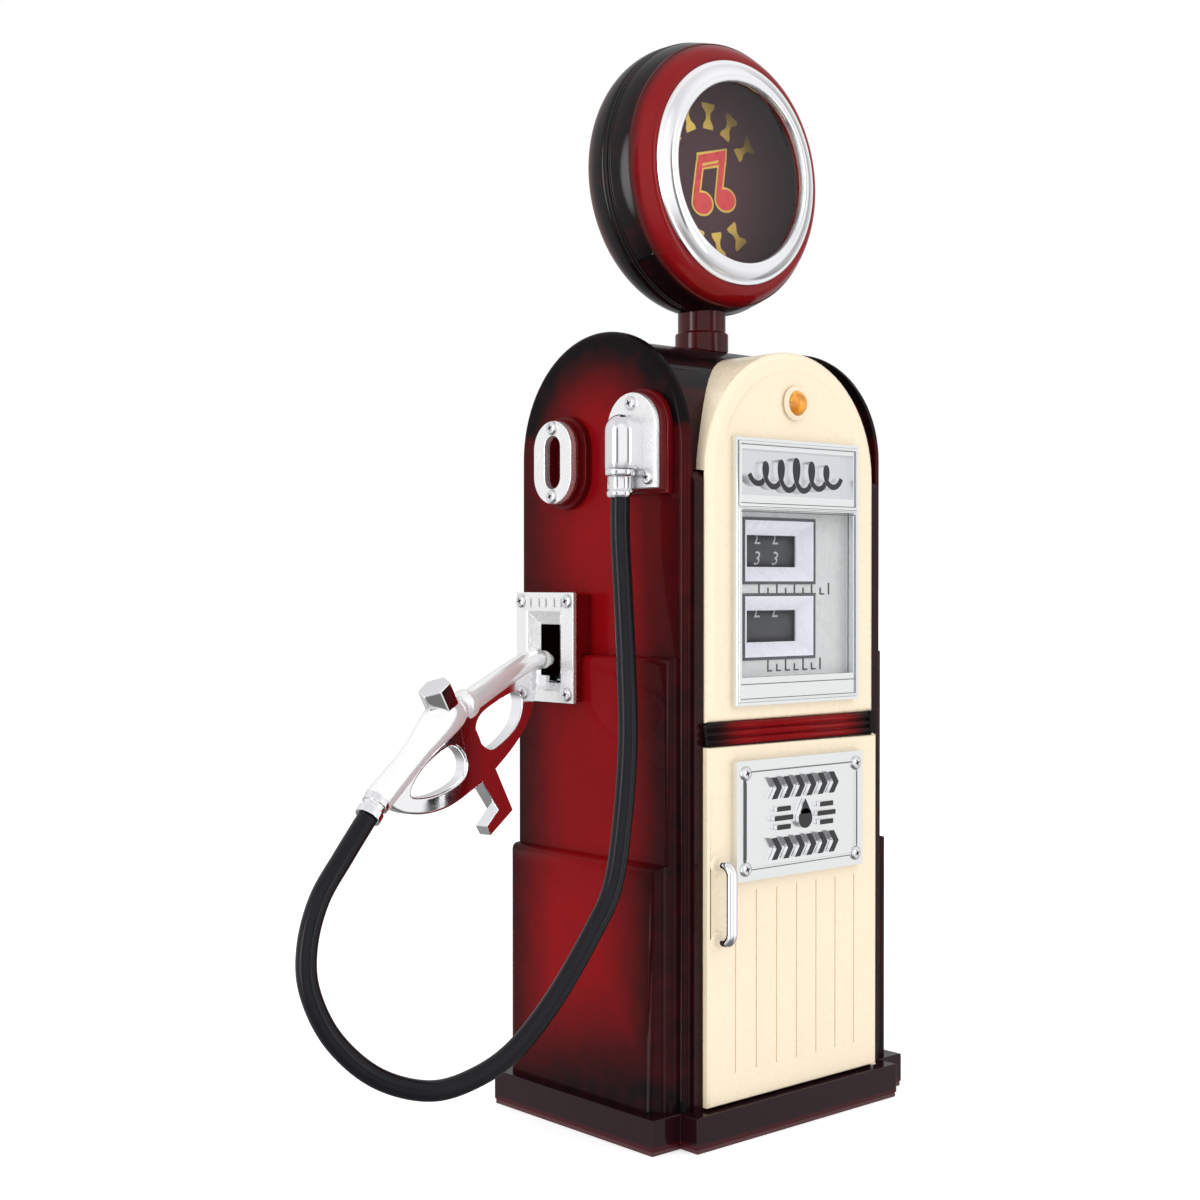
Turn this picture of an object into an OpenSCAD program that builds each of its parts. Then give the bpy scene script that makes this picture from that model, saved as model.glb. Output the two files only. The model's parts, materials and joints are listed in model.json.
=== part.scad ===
// Desk-top retro gas pump with a clockwork musical movement.
// Front is -Y, the hose hangs on the -X side, +Z is up.
// The origin is the centre of the base's underside. Units are millimetres.

/* [Plinth] */
// Height of the plinth
plinth_h = 11.5; // [9:0.5:14]
// Half width of the plinth's side blocks
plinth_x = 61.2; // [60:0.2:64]
// Half depth of the plinth's front and rear blocks
plinth_y = 47.7; // [46.5:0.1:52]

/* [Cabinet] */
// Half width over the arched side panels
panel_x = 48.4; // [48:0.1:49]
// Half depth of the side panels, which is also the radius of their arch
panel_r = 41; // [40.6:0.1:41.4]
// Height of the centre of the roof arch
arch_z = 222.5; // [220:0.5:230]
// Thickness of the moulded walls
wall = 2.2; // [1.8:0.1:2.6]
// How far the door stands proud of the front frame
door_t = 2.8; // [2.6:0.1:3]

/* [Hose] */
// Outer diameter of the hose
hose_d = 6.3; // [6:0.1:6.6]
// Angle of the nozzle away from the X axis, seen from above
nozzle_yaw = 12; // [10:1:14]

/* [Globe] */
// Widest radius of the globe
globe_r = 47.2; // [46:0.2:48]
// Height of the globe's centre
globe_z = 320.3; // [319.5:0.1:321]

/* [Hidden] */
$fn = 64;
tiny = 0.01;

candy_red = [0.45, 0.04, 0.07];
piano_black = [0.05, 0.04, 0.05];
cream = [0.98, 0.93, 0.80];
chrome = [0.82, 0.83, 0.85];
steel = [0.62, 0.63, 0.66];
brass = [0.80, 0.62, 0.28];
ink = [0.06, 0.06, 0.07];

// ---- shared dimensions ----
base_t = 1.5;               // bottom cover
plinth_wall = 2.5;
side_block_y = 39.9;        // half depth of the plinth's side blocks
front_block_x = 49;         // half width of its front and rear blocks
panel_in = 45;              // inner plane of the side panels
core_r = 38.5;              // radius of the roof vault
frame_y = -42;              // front frame's face
frame_top = 215.5;          // where the front frame ends, under the cream cap
mid_x = 52.4;               // middle step of the side panel
mid_y = 38.4;
mid_z = 156;
skirt_x = 57.9;             // lower step of the side panel
skirt_y = 37.5;
skirt_z = 90;
cream_y = -44;              // face of the upper front panel
cream_x = 40.8;             // its half width, and the radius of its arch
belt_z = [127.7, 135.1];    // waist band
door_x = 41.2;
door_z = [12.4, 127.3];
door_y = frame_y - door_t;  // door's face
window_x = 30.2;            // window frame's half width
window_z = [140.1, 226.9];
window_y = -45.9;           // window frame's face
window_open_x = 27.3;
dial_y = -41.7;             // dial's face
bezel_x = -5.4;             // centre of the number windows
bezel_depth = 4;
sale_z = 190.4;
gallons_z = 165.5;
liner_x = 36;
liner_z = [16, 124];
liner_back = -8;

// ---- works ----
drum_r = 11.2;
drum_y = -25.6;             // axis of both number drums
gear_m = 1.025;             // module of the drum gears
small_teeth = 16;
idler_teeth = 24;
gear_step = gear_m * (small_teeth + idler_teeth) / 2;
drum_gap = (sale_z - gallons_z) / 2;
works_z = (sale_z + gallons_z) / 2;
idler_y = drum_y + sqrt(gear_step * gear_step - drum_gap * drum_gap);
cylinder_y = idler_y + gear_step;
gear_x = 17;                // middle plane of the drum gears
gear_t = 3;
shaft_r = 1.2;
running = 0.05;             // radial clearance of a shaft in its bearing
mesh_angle = asin(drum_gap / gear_step);

// ---- fittings on the hose side ----
elbow_at = [-59.5, -23];    // x, y of the hose outlet
elbow_end_z = 207;          // lower end of the outlet, where the hose leaves
slot_at = [15, 220.4];      // y, z of the oval escutcheon
switch_y = [3, 33];
switch_z = [139.7, 176.7];
switch_face = -57;
funnel_y = [9.2, 27.1];
funnel_z = [143.4, 170.4];
slot_y = [13.3, 23.1];
slot_z = [146.3, 165.7];
slot_x = -53.9;             // depth of the slot behind the funnel
plate_back = -55.4;
hook_at = [-51.3, 147];     // x, z of the hook lever's pivot
hook_y = [16, 20];
hook_pin_r = 0.8;

// ---- nozzle, in its own plane: distance from the tip along the hose, and height ----
tip_at = [-58.5, 18];
spout_from = [0, 154.1];
spout_bend = [10, 152.6];
spout_to = [39.5, 140.8];
grip_from = [47, 138];
bulge_at = [52, 135.6];
bulge_r = 6;
grip_to = [79, 114.5];
ferrule_to = [83.8, 109.4];
spout_r = 3.6;
grip_r = 4.5;

// Route of the hose from the outlet to the nozzle: x, y, z
hose_route = [
    [-59.5, -23, 207], [-59.5, -23, 195], [-60, -25, 175], [-61.8, -28.5, 152],
    [-64, -31.5, 130], [-68, -33.5, 106], [-73, -34.5, 86], [-80, -33.5, 73],
    [-92.5, -30, 53.5], [-105, -26, 39], [-117, -21.5, 31.5], [-130, -16.5, 29],
    [-145, -11, 34.5], [-157, -6.5, 46.5], [-163.5, -4, 61], [-164, -3.2, 74],
    [-159.3, -2.4, 87.4], [-150.4, -1.4, 98.7], [-140.6, 0.55, 109.25]
];

// ---- helpers ----

// Turns a drawing of Y and Z into a plate that reaches from x0 to x1
module along_x(x0, x1) translate([x0, 0, 0]) rotate([90, 0, 90]) linear_extrude(x1 - x0) children();

// Turns a drawing of X and Z into a plate that reaches from y0 back to y1
module along_y(y0, y1) translate([0, y1, 0]) rotate([90, 0, 0]) linear_extrude(y1 - y0) children();

module slab_box(lo, hi) translate(lo) cube(hi - lo);

// Cylinder between two points
module rod(from, to, r) {
    d = to - from;
    translate(from)
        rotate([0, acos(d.z / norm(d)), atan2(d.y, d.x)])
            cylinder(h = norm(d), r = r);
}

// Upright rectangle with a half round top
module arch_2d(r, z0, zc) {
    translate([-r, z0]) square([2 * r, zc - z0]);
    intersection() {
        translate([0, zc]) circle(r);
        translate([-r, zc - tiny]) square([2 * r, r + 1]);
    }
}

module stadium_2d(w, h) {
    for (s = [-1, 1]) translate([0, s * (h - w) / 2]) circle(w / 2);
    square([w, h - w], center = true);
}

module frame_2d(x, z, band) difference() {
    translate([-x, z[0]]) square([2 * x, z[1] - z[0]]);
    translate([-x + band, z[0] + band]) square([2 * (x - band), z[1] - z[0] - 2 * band]);
}

// Pan-head screw: its seat is at the origin and its head points along +Z
module screw(head_r = 2.4, head_h = 1.1, shank_r = 1.1, shank = 4, slot_w = 0.6) difference() {
    union() {
        cylinder(h = head_h, r = head_r);
        translate([0, 0, -shank]) cylinder(h = shank + tiny, r = shank_r);
    }
    for (a = [0, 90]) rotate(a)
        translate([-head_r * 0.6, -slot_w / 2, head_h - 0.5]) cube([head_r * 1.2, slot_w, 1]);
}

// Straight-toothed gear about Z: a tooth is centred on angle turn
module gear_2d(teeth, m, turn = 0) {
    r = teeth * m / 2;
    step = 360 / teeth;
    root = step * 0.31;
    top = step * 0.13;
    rotate(turn) union() {
        circle(r - 1.15 * m);
        for (i = [0 : teeth - 1]) rotate(i * step) polygon([
            (r - 1.3 * m) * [cos(-root), sin(-root)], (r + 0.8 * m) * [cos(-top), sin(-top)],
            (r + 0.8 * m) * [cos(top), sin(top)], (r - 1.3 * m) * [cos(root), sin(root)]
        ]);
    }
}

// Gear on an axis along X. Its angles are counted from +Y towards +Z.
module gear_on_x(y, z, teeth, m, x, t, turn = 0, hole = 0) translate([x - t / 2, y, z])
    rotate([90, 0, 90]) linear_extrude(t) difference() {
        gear_2d(teeth, m, turn);
        if (hole > 0) circle(hole);
    }

// Turn that puts a gap of a gear against the idler's tooth. toward is the
// direction from the idler to the gear, and the idler's teeth start at angle 0.
function meshed(toward, teeth) =
    toward + 180 + (toward % (360 / idler_teeth)) * idler_teeth / teeth + 180 / teeth;

// Smooth route through the given points
function spline_point(p, i, t) =
    let (a = p[max(i - 1, 0)], b = p[i], c = p[i + 1], d = p[min(i + 2, len(p) - 1)])
    0.5 * (2 * b + (c - a) * t + (2 * a - 5 * b + 4 * c - d) * t * t
        + (3 * b - a - 3 * c + d) * t * t * t);
function unit(v) = v / norm(v);

// ---- base ----

module plinth_2d(inset = 0) {
    square(2 * [plinth_x - inset, side_block_y - inset], center = true);
    square(2 * [front_block_x - inset, plinth_y - inset], center = true);
}

base_screw_at = [for (x = [-1, 1], y = [-1, 1]) [x * 50, y * 30]];

module plinth() color(piano_black) difference() {
    union() {
        difference() {
            translate([0, 0, base_t]) linear_extrude(plinth_h - base_t) plinth_2d();
            translate([0, 0, -1]) linear_extrude(plinth_h - plinth_wall + 1) plinth_2d(plinth_wall);
        }
        for (p = base_screw_at) translate([p.x, p.y, base_t])
            cylinder(h = plinth_h - base_t - 1, r = 3.4);
    }
    for (p = base_screw_at) translate([p.x, p.y, 0]) cylinder(h = 8, r = 1.1);
    translate([pin_at.x, pin_at.y, plinth_h - 3]) cylinder(h = 4, r = pin_r);
}

module base_plate() color([0.35, 0.05, 0.07]) difference() {
    linear_extrude(base_t) plinth_2d(0.4);
    for (p = base_screw_at) translate([p.x, p.y, -1]) {
        cylinder(h = 4, r = 1.1);
        cylinder(h = 1.9, r = 2.5);
    }
}

rear_screw_at = [for (x = [-1, 1], z = [70, 208]) [x * 33, z]];
globe_screw_at = [for (a = [90, 210, 330]) 30 * [cos(a), sin(a)] + [0, globe_z]];

module case_screws() color(steel) {
    for (p = base_screw_at) translate([p.x, p.y, 0.9]) rotate([180, 0, 0])
        screw(head_r = 2.3, head_h = 0.8);
    for (p = rear_screw_at) translate([p.x, rear_y, p.y]) rotate([-90, 0, 0]) screw(shank = 3.8);
    for (p = globe_screw_at) translate([p.x, globe_back, p.y]) rotate([-90, 0, 0]) screw(shank = 1.8);
}

// ---- cabinet ----

// Outline of a stepped skirt in X and Z, its upper outer corner round
module step_2d(x, z, round_r) {
    w = x - panel_in + 1;
    translate([panel_in - 1, plinth_h]) square([w, z - round_r - plinth_h]);
    translate([panel_in - 1, z - round_r - tiny]) square([w - round_r, round_r + tiny]);
    translate([x - round_r, z - round_r]) circle(round_r);
}

// Step of a side panel: its top and both upright edges are round and meet in a mitre
module side_step(x, y, z, round_r) intersection() {
    along_y(-y, y) step_2d(x, z, round_r);
    translate([panel_in - 1, 0, plinth_h]) linear_extrude(z) {
        w = x - panel_in + 1;
        translate([0, -y]) square([w - round_r, 2 * y]);
        translate([0, round_r - y]) square([w, 2 * (y - round_r)]);
        for (s = [-1, 1]) translate([w - round_r, s * (y - round_r)]) circle(round_r);
    }
}

// Side moulding on the +X side: an arched slab and two steps, hollow behind
module side_panel() {
    edge = 2.5;
    difference() {
        union() {
            // arch, with its outer edge rounded
            translate([0, 0, arch_z]) rotate([90, 0, 90]) rotate_extrude(angle = 180)
                slab_section(edge);
            // straight part below it
            translate([0, 0, plinth_h]) linear_extrude(arch_z - plinth_h) for (s = [0, 1])
                mirror([0, s, 0]) rotate(90) mirror([0, 1, 0]) slab_section(edge);
            side_step(mid_x, mid_y, mid_z, 2.5);
            side_step(skirt_x, skirt_y, skirt_z, 5.5);
        }
        // hollow behind
        along_x(panel_in - 2, panel_x - wall) arch_2d(36, plinth_h - 1, arch_z);
        slab_box([panel_in - 2, -mid_y + wall, plinth_h - 1], [mid_x - wall, mid_y - wall, mid_z - wall]);
        slab_box([panel_in - 2, -skirt_y + wall, plinth_h - 1],
                 [skirt_x - wall, skirt_y - 5.5, skirt_z - 5.5]);
        slab_box([panel_in - 2, -60, 0], [panel_in, 60, 300]);
    }
}

// Section of the arched slab: its radius along X, and the cabinet's X along Y
module slab_section(edge) {
    translate([0, panel_in]) square([panel_r - edge, panel_x - panel_in]);
    translate([0, panel_in]) square([panel_r, panel_x - panel_in - edge]);
    translate([panel_r - edge, panel_x - edge]) circle(edge);
}

module left_side_panel() color(candy_red) difference() {
    mirror([1, 0, 0]) side_panel();
    // way through for the nozzle's tip and the hook lever
    slab_box([-60, slot_y[0] - 1, slot_z[0] - 4], [-40, slot_y[1] + 1, slot_z[1] + 1]);
    for (p = side_screw_at) translate([-60, p.y, p.z]) rotate([0, 90, 0]) cylinder(h = 20, r = 1.1);
}

module right_side_panel() color(candy_red) side_panel();

rear_y = 40;                // rear cover's outer face
key_hole_r = 2.6;

module cabinet_core() color(candy_red) difference() {
    union() {
        along_x(-panel_in, panel_in) arch_2d(core_r, plinth_h, arch_z);
        slab_box([-panel_in, frame_y, plinth_h], [panel_in, -30, frame_top]);
    }
    // room inside
    along_x(-panel_in - 1, panel_in + 1) difference() {
        arch_2d(core_r - wall, plinth_h + wall, arch_z);
        translate([-60, 0]) square([60 - 36.3, 300]);
    }
    slab_box([-panel_in - 1, -36.3, plinth_h + wall], [panel_in + 1, -30, frame_top - 6]);
    // door and dial openings
    slab_box([-liner_x, -50, liner_z[0]], [liner_x, -30, liner_z[1]]);
    slab_box([-31, -50, 139], [31, -30, 211]);
    slab_box([-31, -50, 139], [31, -core_r, 217]);
    // relief for the door's swinging edge
    slab_box([37, -50, plinth_h - 1], [door_x + 0.9, frame_y + 0.6, door_z[1] + 0.2]);
    // service opening, covered from behind
    slab_box([-28, 30, 66], [28, 50, 212]);
    for (p = rear_screw_at) translate([p.x, 30, p.y]) rotate([-90, 0, 0]) cylinder(h = 12, r = 1.1);
}

module rear_cover() color(candy_red) difference() {
    slab_box([-37, core_r, 62], [37, rear_y, 216]);
    for (p = rear_screw_at) translate([p.x, 30, p.y]) rotate([-90, 0, 0]) cylinder(h = 12, r = 1.1);
    translate([0, 30, works_z]) rotate([-90, 0, 0]) cylinder(h = 12, r = key_hole_r);
    // sound slots
    for (i = [0 : 5]) along_y(30, 50) translate([0, 90 + i * 8]) square([36, 2.4], center = true);
}

// Cream arch: a plate in front, and a cap that runs back onto the roof vault
module upper_front_panel() color(cream) difference() {
    union() {
        along_y(cream_y, frame_y) arch_2d(cream_x, belt_z[1], arch_bottom);
        intersection() {
            along_y(cream_y, -10) arch_2d(cream_x, frame_top, arch_bottom);
            slab_box([-60, -60, frame_top], [60, 0, 300]);
        }
    }
    // room for the vault and the lamp
    translate([-60, 0, arch_z]) rotate([0, 90, 0]) cylinder(h = 120, r = core_r);
    slab_box([-60, -core_r, frame_top - 5], [60, -5, arch_z]);
    along_y(frame_y + 0.2, -5) arch_2d(cream_x - wall, frame_top - 5, arch_bottom);
    slab_box([-28.2, -60, 142], [28.2, -30, 225]);
    translate([0, -60, lamp_z]) rotate([-90, 0, 0]) cylinder(h = 30, r = 3);
}

arch_bottom = 215.7;        // height of the cream arch's centre
lamp_z = 239.5;

belt_end = 3.2;             // width of the waist band's plain end, over the hinge pin
belt_face = -44.6;          // its face

module belt_moulding() color(candy_red) difference() {
    h = (belt_z[1] - belt_z[0]) / 3;
    union() {
        translate([-door_x, 0, 0]) rotate([90, 0, 90]) linear_extrude(2 * door_x) {
            translate([frame_y - 1.4, belt_z[0]]) square([1.4, 3 * h]);
            for (i = [0 : 2]) translate([frame_y - 1.4, belt_z[0] + (i + 0.5) * h]) circle(h / 2 - 0.15);
        }
        slab_box([door_x - belt_end, belt_face, belt_z[0]], [door_x, frame_y, belt_z[1]]);
    }
    slab_box([-50, frame_y, 100], [50, -30, 150]);
    translate([pin_at.x, pin_at.y, belt_z[0] - 1]) cylinder(h = 4.2, r = pin_r);
}

// ---- window and dial ----

header_z = [208.3, 223.2];
view_z = [149.2, 203.7];

module window_frame() color(chrome) difference() {
    union() {
        along_y(window_y, cream_y) translate([-window_x, window_z[0]])
            square([2 * window_x, window_z[1] - window_z[0]]);
        // sleeve that reaches back to the dial
        along_y(cream_y - tiny, dial_y) translate([-28, 142.2]) square([56, 82.6]);
        along_y(window_y - 0.5, window_y + tiny) {
            frame_2d(window_x - 1.2, [204.7, window_z[1] - 1.2], 0.7);
            frame_2d(window_x - 1.2, [window_z[0] + 1.2, 204], 0.7);
        }
    }
    for (z = [header_z, view_z]) slab_box([-window_open_x, -60, z[0]], [window_open_x, -30, z[1]]);
}

module window_glass() color([0.8, 0.9, 0.95, 0.3])
    slab_box([-window_open_x, dial_y - 2.2, view_z[0]], [window_open_x, dial_y - 1.6, view_z[1]]);

module header_plate() color(chrome)
    slab_box([-window_open_x, -42.9, header_z[0]], [window_open_x, dial_y, header_z[1]]);

// Row of overlapping rings on a bar, as a scroll ornament
module header_relief() color(ink) along_y(-44.9, -42.9) translate([0, 215.6]) {
    for (i = [-4 : 4]) translate([i * 4.6, 0]) difference() {
        circle(3.5 - 0.12 * abs(i));
        circle(2);
    }
    translate([-23, -0.7]) square([46, 1.4]);
}

module number_hole_2d(z, grow = 0) translate([bezel_x, z])
    square([33.3 + 2 * grow, 20 + 2 * grow], center = true);

module dial_plate() color("white") difference() {
    slab_box([-28, dial_y, 141.5], [28, dial_y + 1.2, 225]);
    for (z = [sale_z, gallons_z]) along_y(-60, -20) number_hole_2d(z);
}

// Number frame: four sloping walls that lead back to a small window
module bezel(z) color([0.93, 0.94, 0.96]) translate([bezel_x, 0, z]) difference() {
    along_y(dial_y - 0.3, dial_y + bezel_depth) square([33.3, 20], center = true);
    // each slope is cut by a wedge
    hull() {
        along_y(dial_y - 0.4, dial_y - 0.3) square([32, 18.7], center = true);
        along_y(dial_y + bezel_depth - 0.6, dial_y + bezel_depth - 0.5) square([23.8, 10.5], center = true);
    }
    along_y(-50, -20) square([23.8, 10.5], center = true);
}

module sale_bezel() bezel(sale_z);
module gallons_bezel() bezel(gallons_z);

module lamp_boss() color(cream) translate([0, cream_y, lamp_z]) rotate([90, 0, 0]) difference() {
    rotate_extrude() difference() {
        square([5.6, 1.2]);
        translate([5.6, 1.2]) circle(0.6);
    }
    translate([0, 0, -1]) cylinder(h = 4, r = 3);
}

// Amber jewel: a shank through the boss and a domed head
module lamp_lens() color([0.95, 0.55, 0.05]) translate([0, cream_y, lamp_z]) rotate([90, 0, 0]) {
    translate([0, 0, -1.8]) cylinder(h = 3.1, r = 3);
    translate([0, 0, 1.2]) intersection() {
        translate([0, 0, -1.9]) sphere(r = 4.6);
        cylinder(h = 5, r = 5);
    }
}

module compartment_liner() color([0.16, 0.03, 0.04]) difference() {
    slab_box([-liner_x, frame_y, liner_z[0]], [liner_x, liner_back, liner_z[1]]);
    slab_box([-liner_x + 1.6, frame_y - 1, liner_z[0] + 1.6], [liner_x - 1.6, liner_back - 1.6, liner_z[1] - 1.6]);
}

// ---- door ----

pin_at = [40.2, -43.4];     // hinge axis, at the door's right edge
pin_r = 0.8;

module door() color(cream) difference() {
    union() {
        slab_box([-door_x, door_y, door_z[0]], [door_x, frame_y - 0.1, door_z[1]]);
        for (z = handle_z) translate([handle_x, door_y + tiny, z]) rotate([90, 0, 0])
            cylinder(h = 0.7, r = 3.4);
    }
    // pressed grooves below the sign
    for (i = [-3 : 3]) slab_box([i * 9.7 - 0.3, door_y - 1, 22], [i * 9.7 + 0.3, door_y + 0.35, 80]);
    for (s = [0, 1]) translate([pin_at.x, pin_at.y, s == 0 ? door_z[0] - 1 : door_z[1] - 4])
        cylinder(h = 5, r = pin_r + running);
    for (p = sign_screw_at) translate([p.x, -50, p.y]) rotate([-90, 0, 0]) cylinder(h = 20, r = 0.9);
}

module door_hinge_pins() color(steel) {
    translate([pin_at.x, pin_at.y, plinth_h - 3]) cylinder(h = 7.5, r = pin_r);
    translate([pin_at.x, pin_at.y, door_z[1] - 3.8]) cylinder(h = 7.3, r = pin_r);
}

handle_x = -37.2;
handle_z = [65.4, 90];
handle_y = -51;

// D-shaped pull: a round bar with two bends and two feet
module door_handle() color(chrome) {
    bend = 3.4;
    r = 1.85;
    foot_y = door_y - 0.7;
    translate([handle_x, handle_y, handle_z[0] + bend])
        cylinder(h = handle_z[1] - handle_z[0] - 2 * bend, r = r);
    for (s = [0, 1]) translate([handle_x, 0, s * handle_z[1] + (1 - s) * handle_z[0]])
        mirror([0, 0, s]) {
            translate([0, handle_y + bend, bend]) rotate([0, -90, 0]) rotate([0, 0, 180])
                rotate_extrude(angle = 90) translate([bend, 0]) circle(r);
            translate([0, foot_y, 0]) rotate([90, 0, 0])
                cylinder(h = foot_y - handle_y - bend, r1 = 1.5, r2 = r);
        }
}

sign_x = 30.9;
sign_z = [83.6, 122.5];
sign_y = door_y - 2.4;
sign_screw_at = [for (x = [-1, 1], z = [87.6, 118.5]) [x * 27, z]];

module sign_plate() color(chrome) difference() {
    union() {
        along_y(sign_y, door_y) translate([-sign_x, sign_z[0]])
            square([2 * sign_x, sign_z[1] - sign_z[0]]);
        along_y(sign_y - 0.5, sign_y + tiny) frame_2d(sign_x - 3.6, sign_z + [3.6, -3.6], 0.7);
    }
    for (p = sign_screw_at) translate([p.x, -60, p.y]) rotate([-90, 0, 0]) {
        cylinder(h = 30, r = 0.9);
        cylinder(h = 60 + sign_y - 0.5 + 0.5, r = 2.45);
    }
}

// Raised ornament in three rows: chevrons, a fuel drop between bars, and chevrons
module sign_relief() color(ink) along_y(sign_y - 1.8, sign_y) {
    for (z = [113, 93.2], i = [-3 : 2]) translate([i * 5.6 + 0.4, z]) chevron_2d();
    translate([0, 102]) drop_2d(3.3);
    for (s = [-1, 1], k = [-1 : 1]) translate([s * 10.5, 103 + k * 3])
        square([9 - 2.4 * abs(k), 1.7], center = true);
}

module chevron_2d() polygon([[0, 3.6], [2.6, 3.6], [5, 0], [2.6, -3.6], [0, -3.6], [2.4, 0]]);

module drop_2d(r) {
    circle(r);
    polygon([[-r * 0.866, r * 0.5], [0, 2 * r], [r * 0.866, r * 0.5]]);
}

module sign_screws() color(steel) for (p = sign_screw_at) translate([p.x, sign_y, p.y])
    rotate([90, 0, 0]) screw(shank_r = 0.9, shank = 4.8);

// ---- fittings on the hose side ----

slot_screw_y = 9.6;
elbow_plate_z = [210, 241];
elbow_plate_r = 11.4;
side_screw_at = concat(
    [for (s = [-1, 1]) [-56, slot_at[0], slot_at[1] + s * slot_screw_y * 1.2]],
    [[-55, elbow_at.y, 237.5], [-55, elbow_at.y - 8.2, 213.4], [-55, elbow_at.y + 8.2, 213.4]],
    [for (y = switch_y + [3, -3], z = switch_z + [3, -3]) [switch_face, y, z]]
);

module side_screw_holes() for (p = side_screw_at) translate([-70, p.y, p.z]) rotate([0, 90, 0])
    cylinder(h = 40, r = 1.1);

module slot_boss() color(candy_red) difference() {
    union() {
        along_x(-51, -panel_x) translate(slot_at) stadium_2d(23, 31.5);
        along_x(-53.4, -50.9) translate(slot_at) stadium_2d(20.4, 28.9);
    }
    along_x(-60, -50) translate(slot_at) stadium_2d(7.9, 17.8);
    side_screw_holes();
}

module slot_plate() color(chrome) difference() {
    along_x(-56, -53.4) translate(slot_at) stadium_2d(19.4, 28);
    along_x(-60, -50) translate(slot_at) stadium_2d(7.9, 17.8);
    side_screw_holes();
}

module elbow_outline_2d(grow = 0) translate([elbow_at.y, 0])
    arch_2d(elbow_plate_r + grow, elbow_plate_z[0] - grow, elbow_plate_z[1] - elbow_plate_r);

module elbow_boss() color(candy_red) difference() {
    union() {
        along_x(-51, -panel_x) elbow_outline_2d(1.6);
        along_x(-52.8, -50.9) elbow_outline_2d(0.6);
    }
    side_screw_holes();
}

module elbow_plate() color(chrome) difference() {
    along_x(-55, -52.8) elbow_outline_2d();
    side_screw_holes();
}

// Hose outlet: a domed elbow on the plate, with a collar and a sleeve below
module hose_elbow() color(chrome) difference() {
    top = 228.5;
    union() {
        translate([elbow_at.x, elbow_at.y, 216]) cylinder(h = top - 216, r = 5);
        translate([elbow_at.x, elbow_at.y, top]) sphere(r = 5);
        slab_box([elbow_at.x, elbow_at.y - 5, 216], [-55, elbow_at.y + 5, top]);
        intersection() {
            rod([elbow_at.x, elbow_at.y, top], [-55, elbow_at.y, top], 5);
            slab_box([-70, -60, top], [-55, 0, 260]);
        }
        translate([elbow_at.x, elbow_at.y, 213.6]) cylinder(h = 2.6, r = 5.6);
        translate([elbow_at.x, elbow_at.y, 209.4]) cylinder(h = 4.4, r = 4.4);
        translate([elbow_at.x, elbow_at.y, elbow_end_z]) cylinder(h = 2.5, r = 5);
    }
    slab_box([-55, -60, 200], [-50, 0, 250]);
    translate([elbow_at.x, elbow_at.y, elbow_end_z + 2]) cylinder(h = 12, r = 2.4);
}

// Pocket that runs from the funnel through the side panel
module nozzle_pocket() slab_box([-60, slot_y[0] - 1, slot_z[0] - 4], [-40, slot_y[1] + 1, slot_z[1] + 1]);

module funnel_block(grow) slab_box([switch_face, funnel_y[0] - 1 - grow, funnel_z[0] - 1 - grow],
                                   [slot_x + grow, funnel_y[1] + 1 + grow, funnel_z[1] + 1 + grow]);

module switch_housing() color(candy_red) difference() {
    slab_box([plate_back, switch_y[0] + 0.6, switch_z[0] + 0.6],
             [-panel_x, switch_y[1] - 0.6, switch_z[1] - 0.6]);
    // seat on the stepped side panel
    slab_box([-mid_x, -60, 0], [-40, 60, mid_z]);
    nozzle_pocket();
    funnel_block(0.05);
    side_screw_holes();
}

// Bright cover: a rectangular funnel that leads to the slot
module switch_plate() color(chrome) difference() {
    union() {
        slab_box([switch_face, switch_y[0], switch_z[0]], [plate_back, switch_y[1], switch_z[1]]);
        funnel_block(0);
    }
    hull() {
        slab_box([switch_face - 1, funnel_y[0], funnel_z[0]], [switch_face, funnel_y[1], funnel_z[1]]);
        slab_box([slot_x - 0.1, slot_y[0], slot_z[0]], [slot_x, slot_y[1], slot_z[1]]);
    }
    slab_box([-60, slot_y[0], slot_z[0]], [-50, slot_y[1], slot_z[1]]);
    side_screw_holes();
}

module side_screws() color(steel) for (p = side_screw_at) translate(p) rotate([0, -90, 0])
    screw(shank = p.x == switch_face ? 4 : 5.4);

module hook_lever() color(chrome) difference() {
    along_y(hook_y[0], hook_y[1]) {
        translate(hook_at) circle(2.2);
        translate([-58, 146.8]) square([7, 2]);
        translate([-58, 144.9]) square([1.6, 3]);
        translate([hook_at[0], hook_at[1] - 1.2]) square([9, 2.4]);
    }
    hook_axle(hook_pin_r + running);
}

// Round rod through the hook lever's pivot
module hook_axle(r) translate([hook_at[0], slot_y[0] - 3, hook_at[1]]) rotate([-90, 0, 0])
    cylinder(h = slot_y[1] - slot_y[0] + 6, r = r);

module hook_pin() color(steel) hook_axle(hook_pin_r);

// ---- nozzle ----

// Places children drawn in the nozzle's own plane: X is minus the distance from the tip
module nozzle_place() translate([tip_at.x, tip_at.y, 0]) rotate([0, 0, nozzle_yaw]) children();

// Round bar between two points of the nozzle's plane
module bar(from, to, r) rod([-from.x, 0, from.y], [-to.x, 0, to.y], r);

// Closed smooth outline through points given as distance and height
module loop_2d(points) {
    n = len(points);
    route = concat([points[n - 1]], points, [points[0], points[1]]);
    inner = [for (i = [1 : n], t = [0 : 0.25 : 0.75]) spline_point(route, i, t)];
    polygon([for (p = inner) [-p[0], p[1]]]);
}

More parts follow.
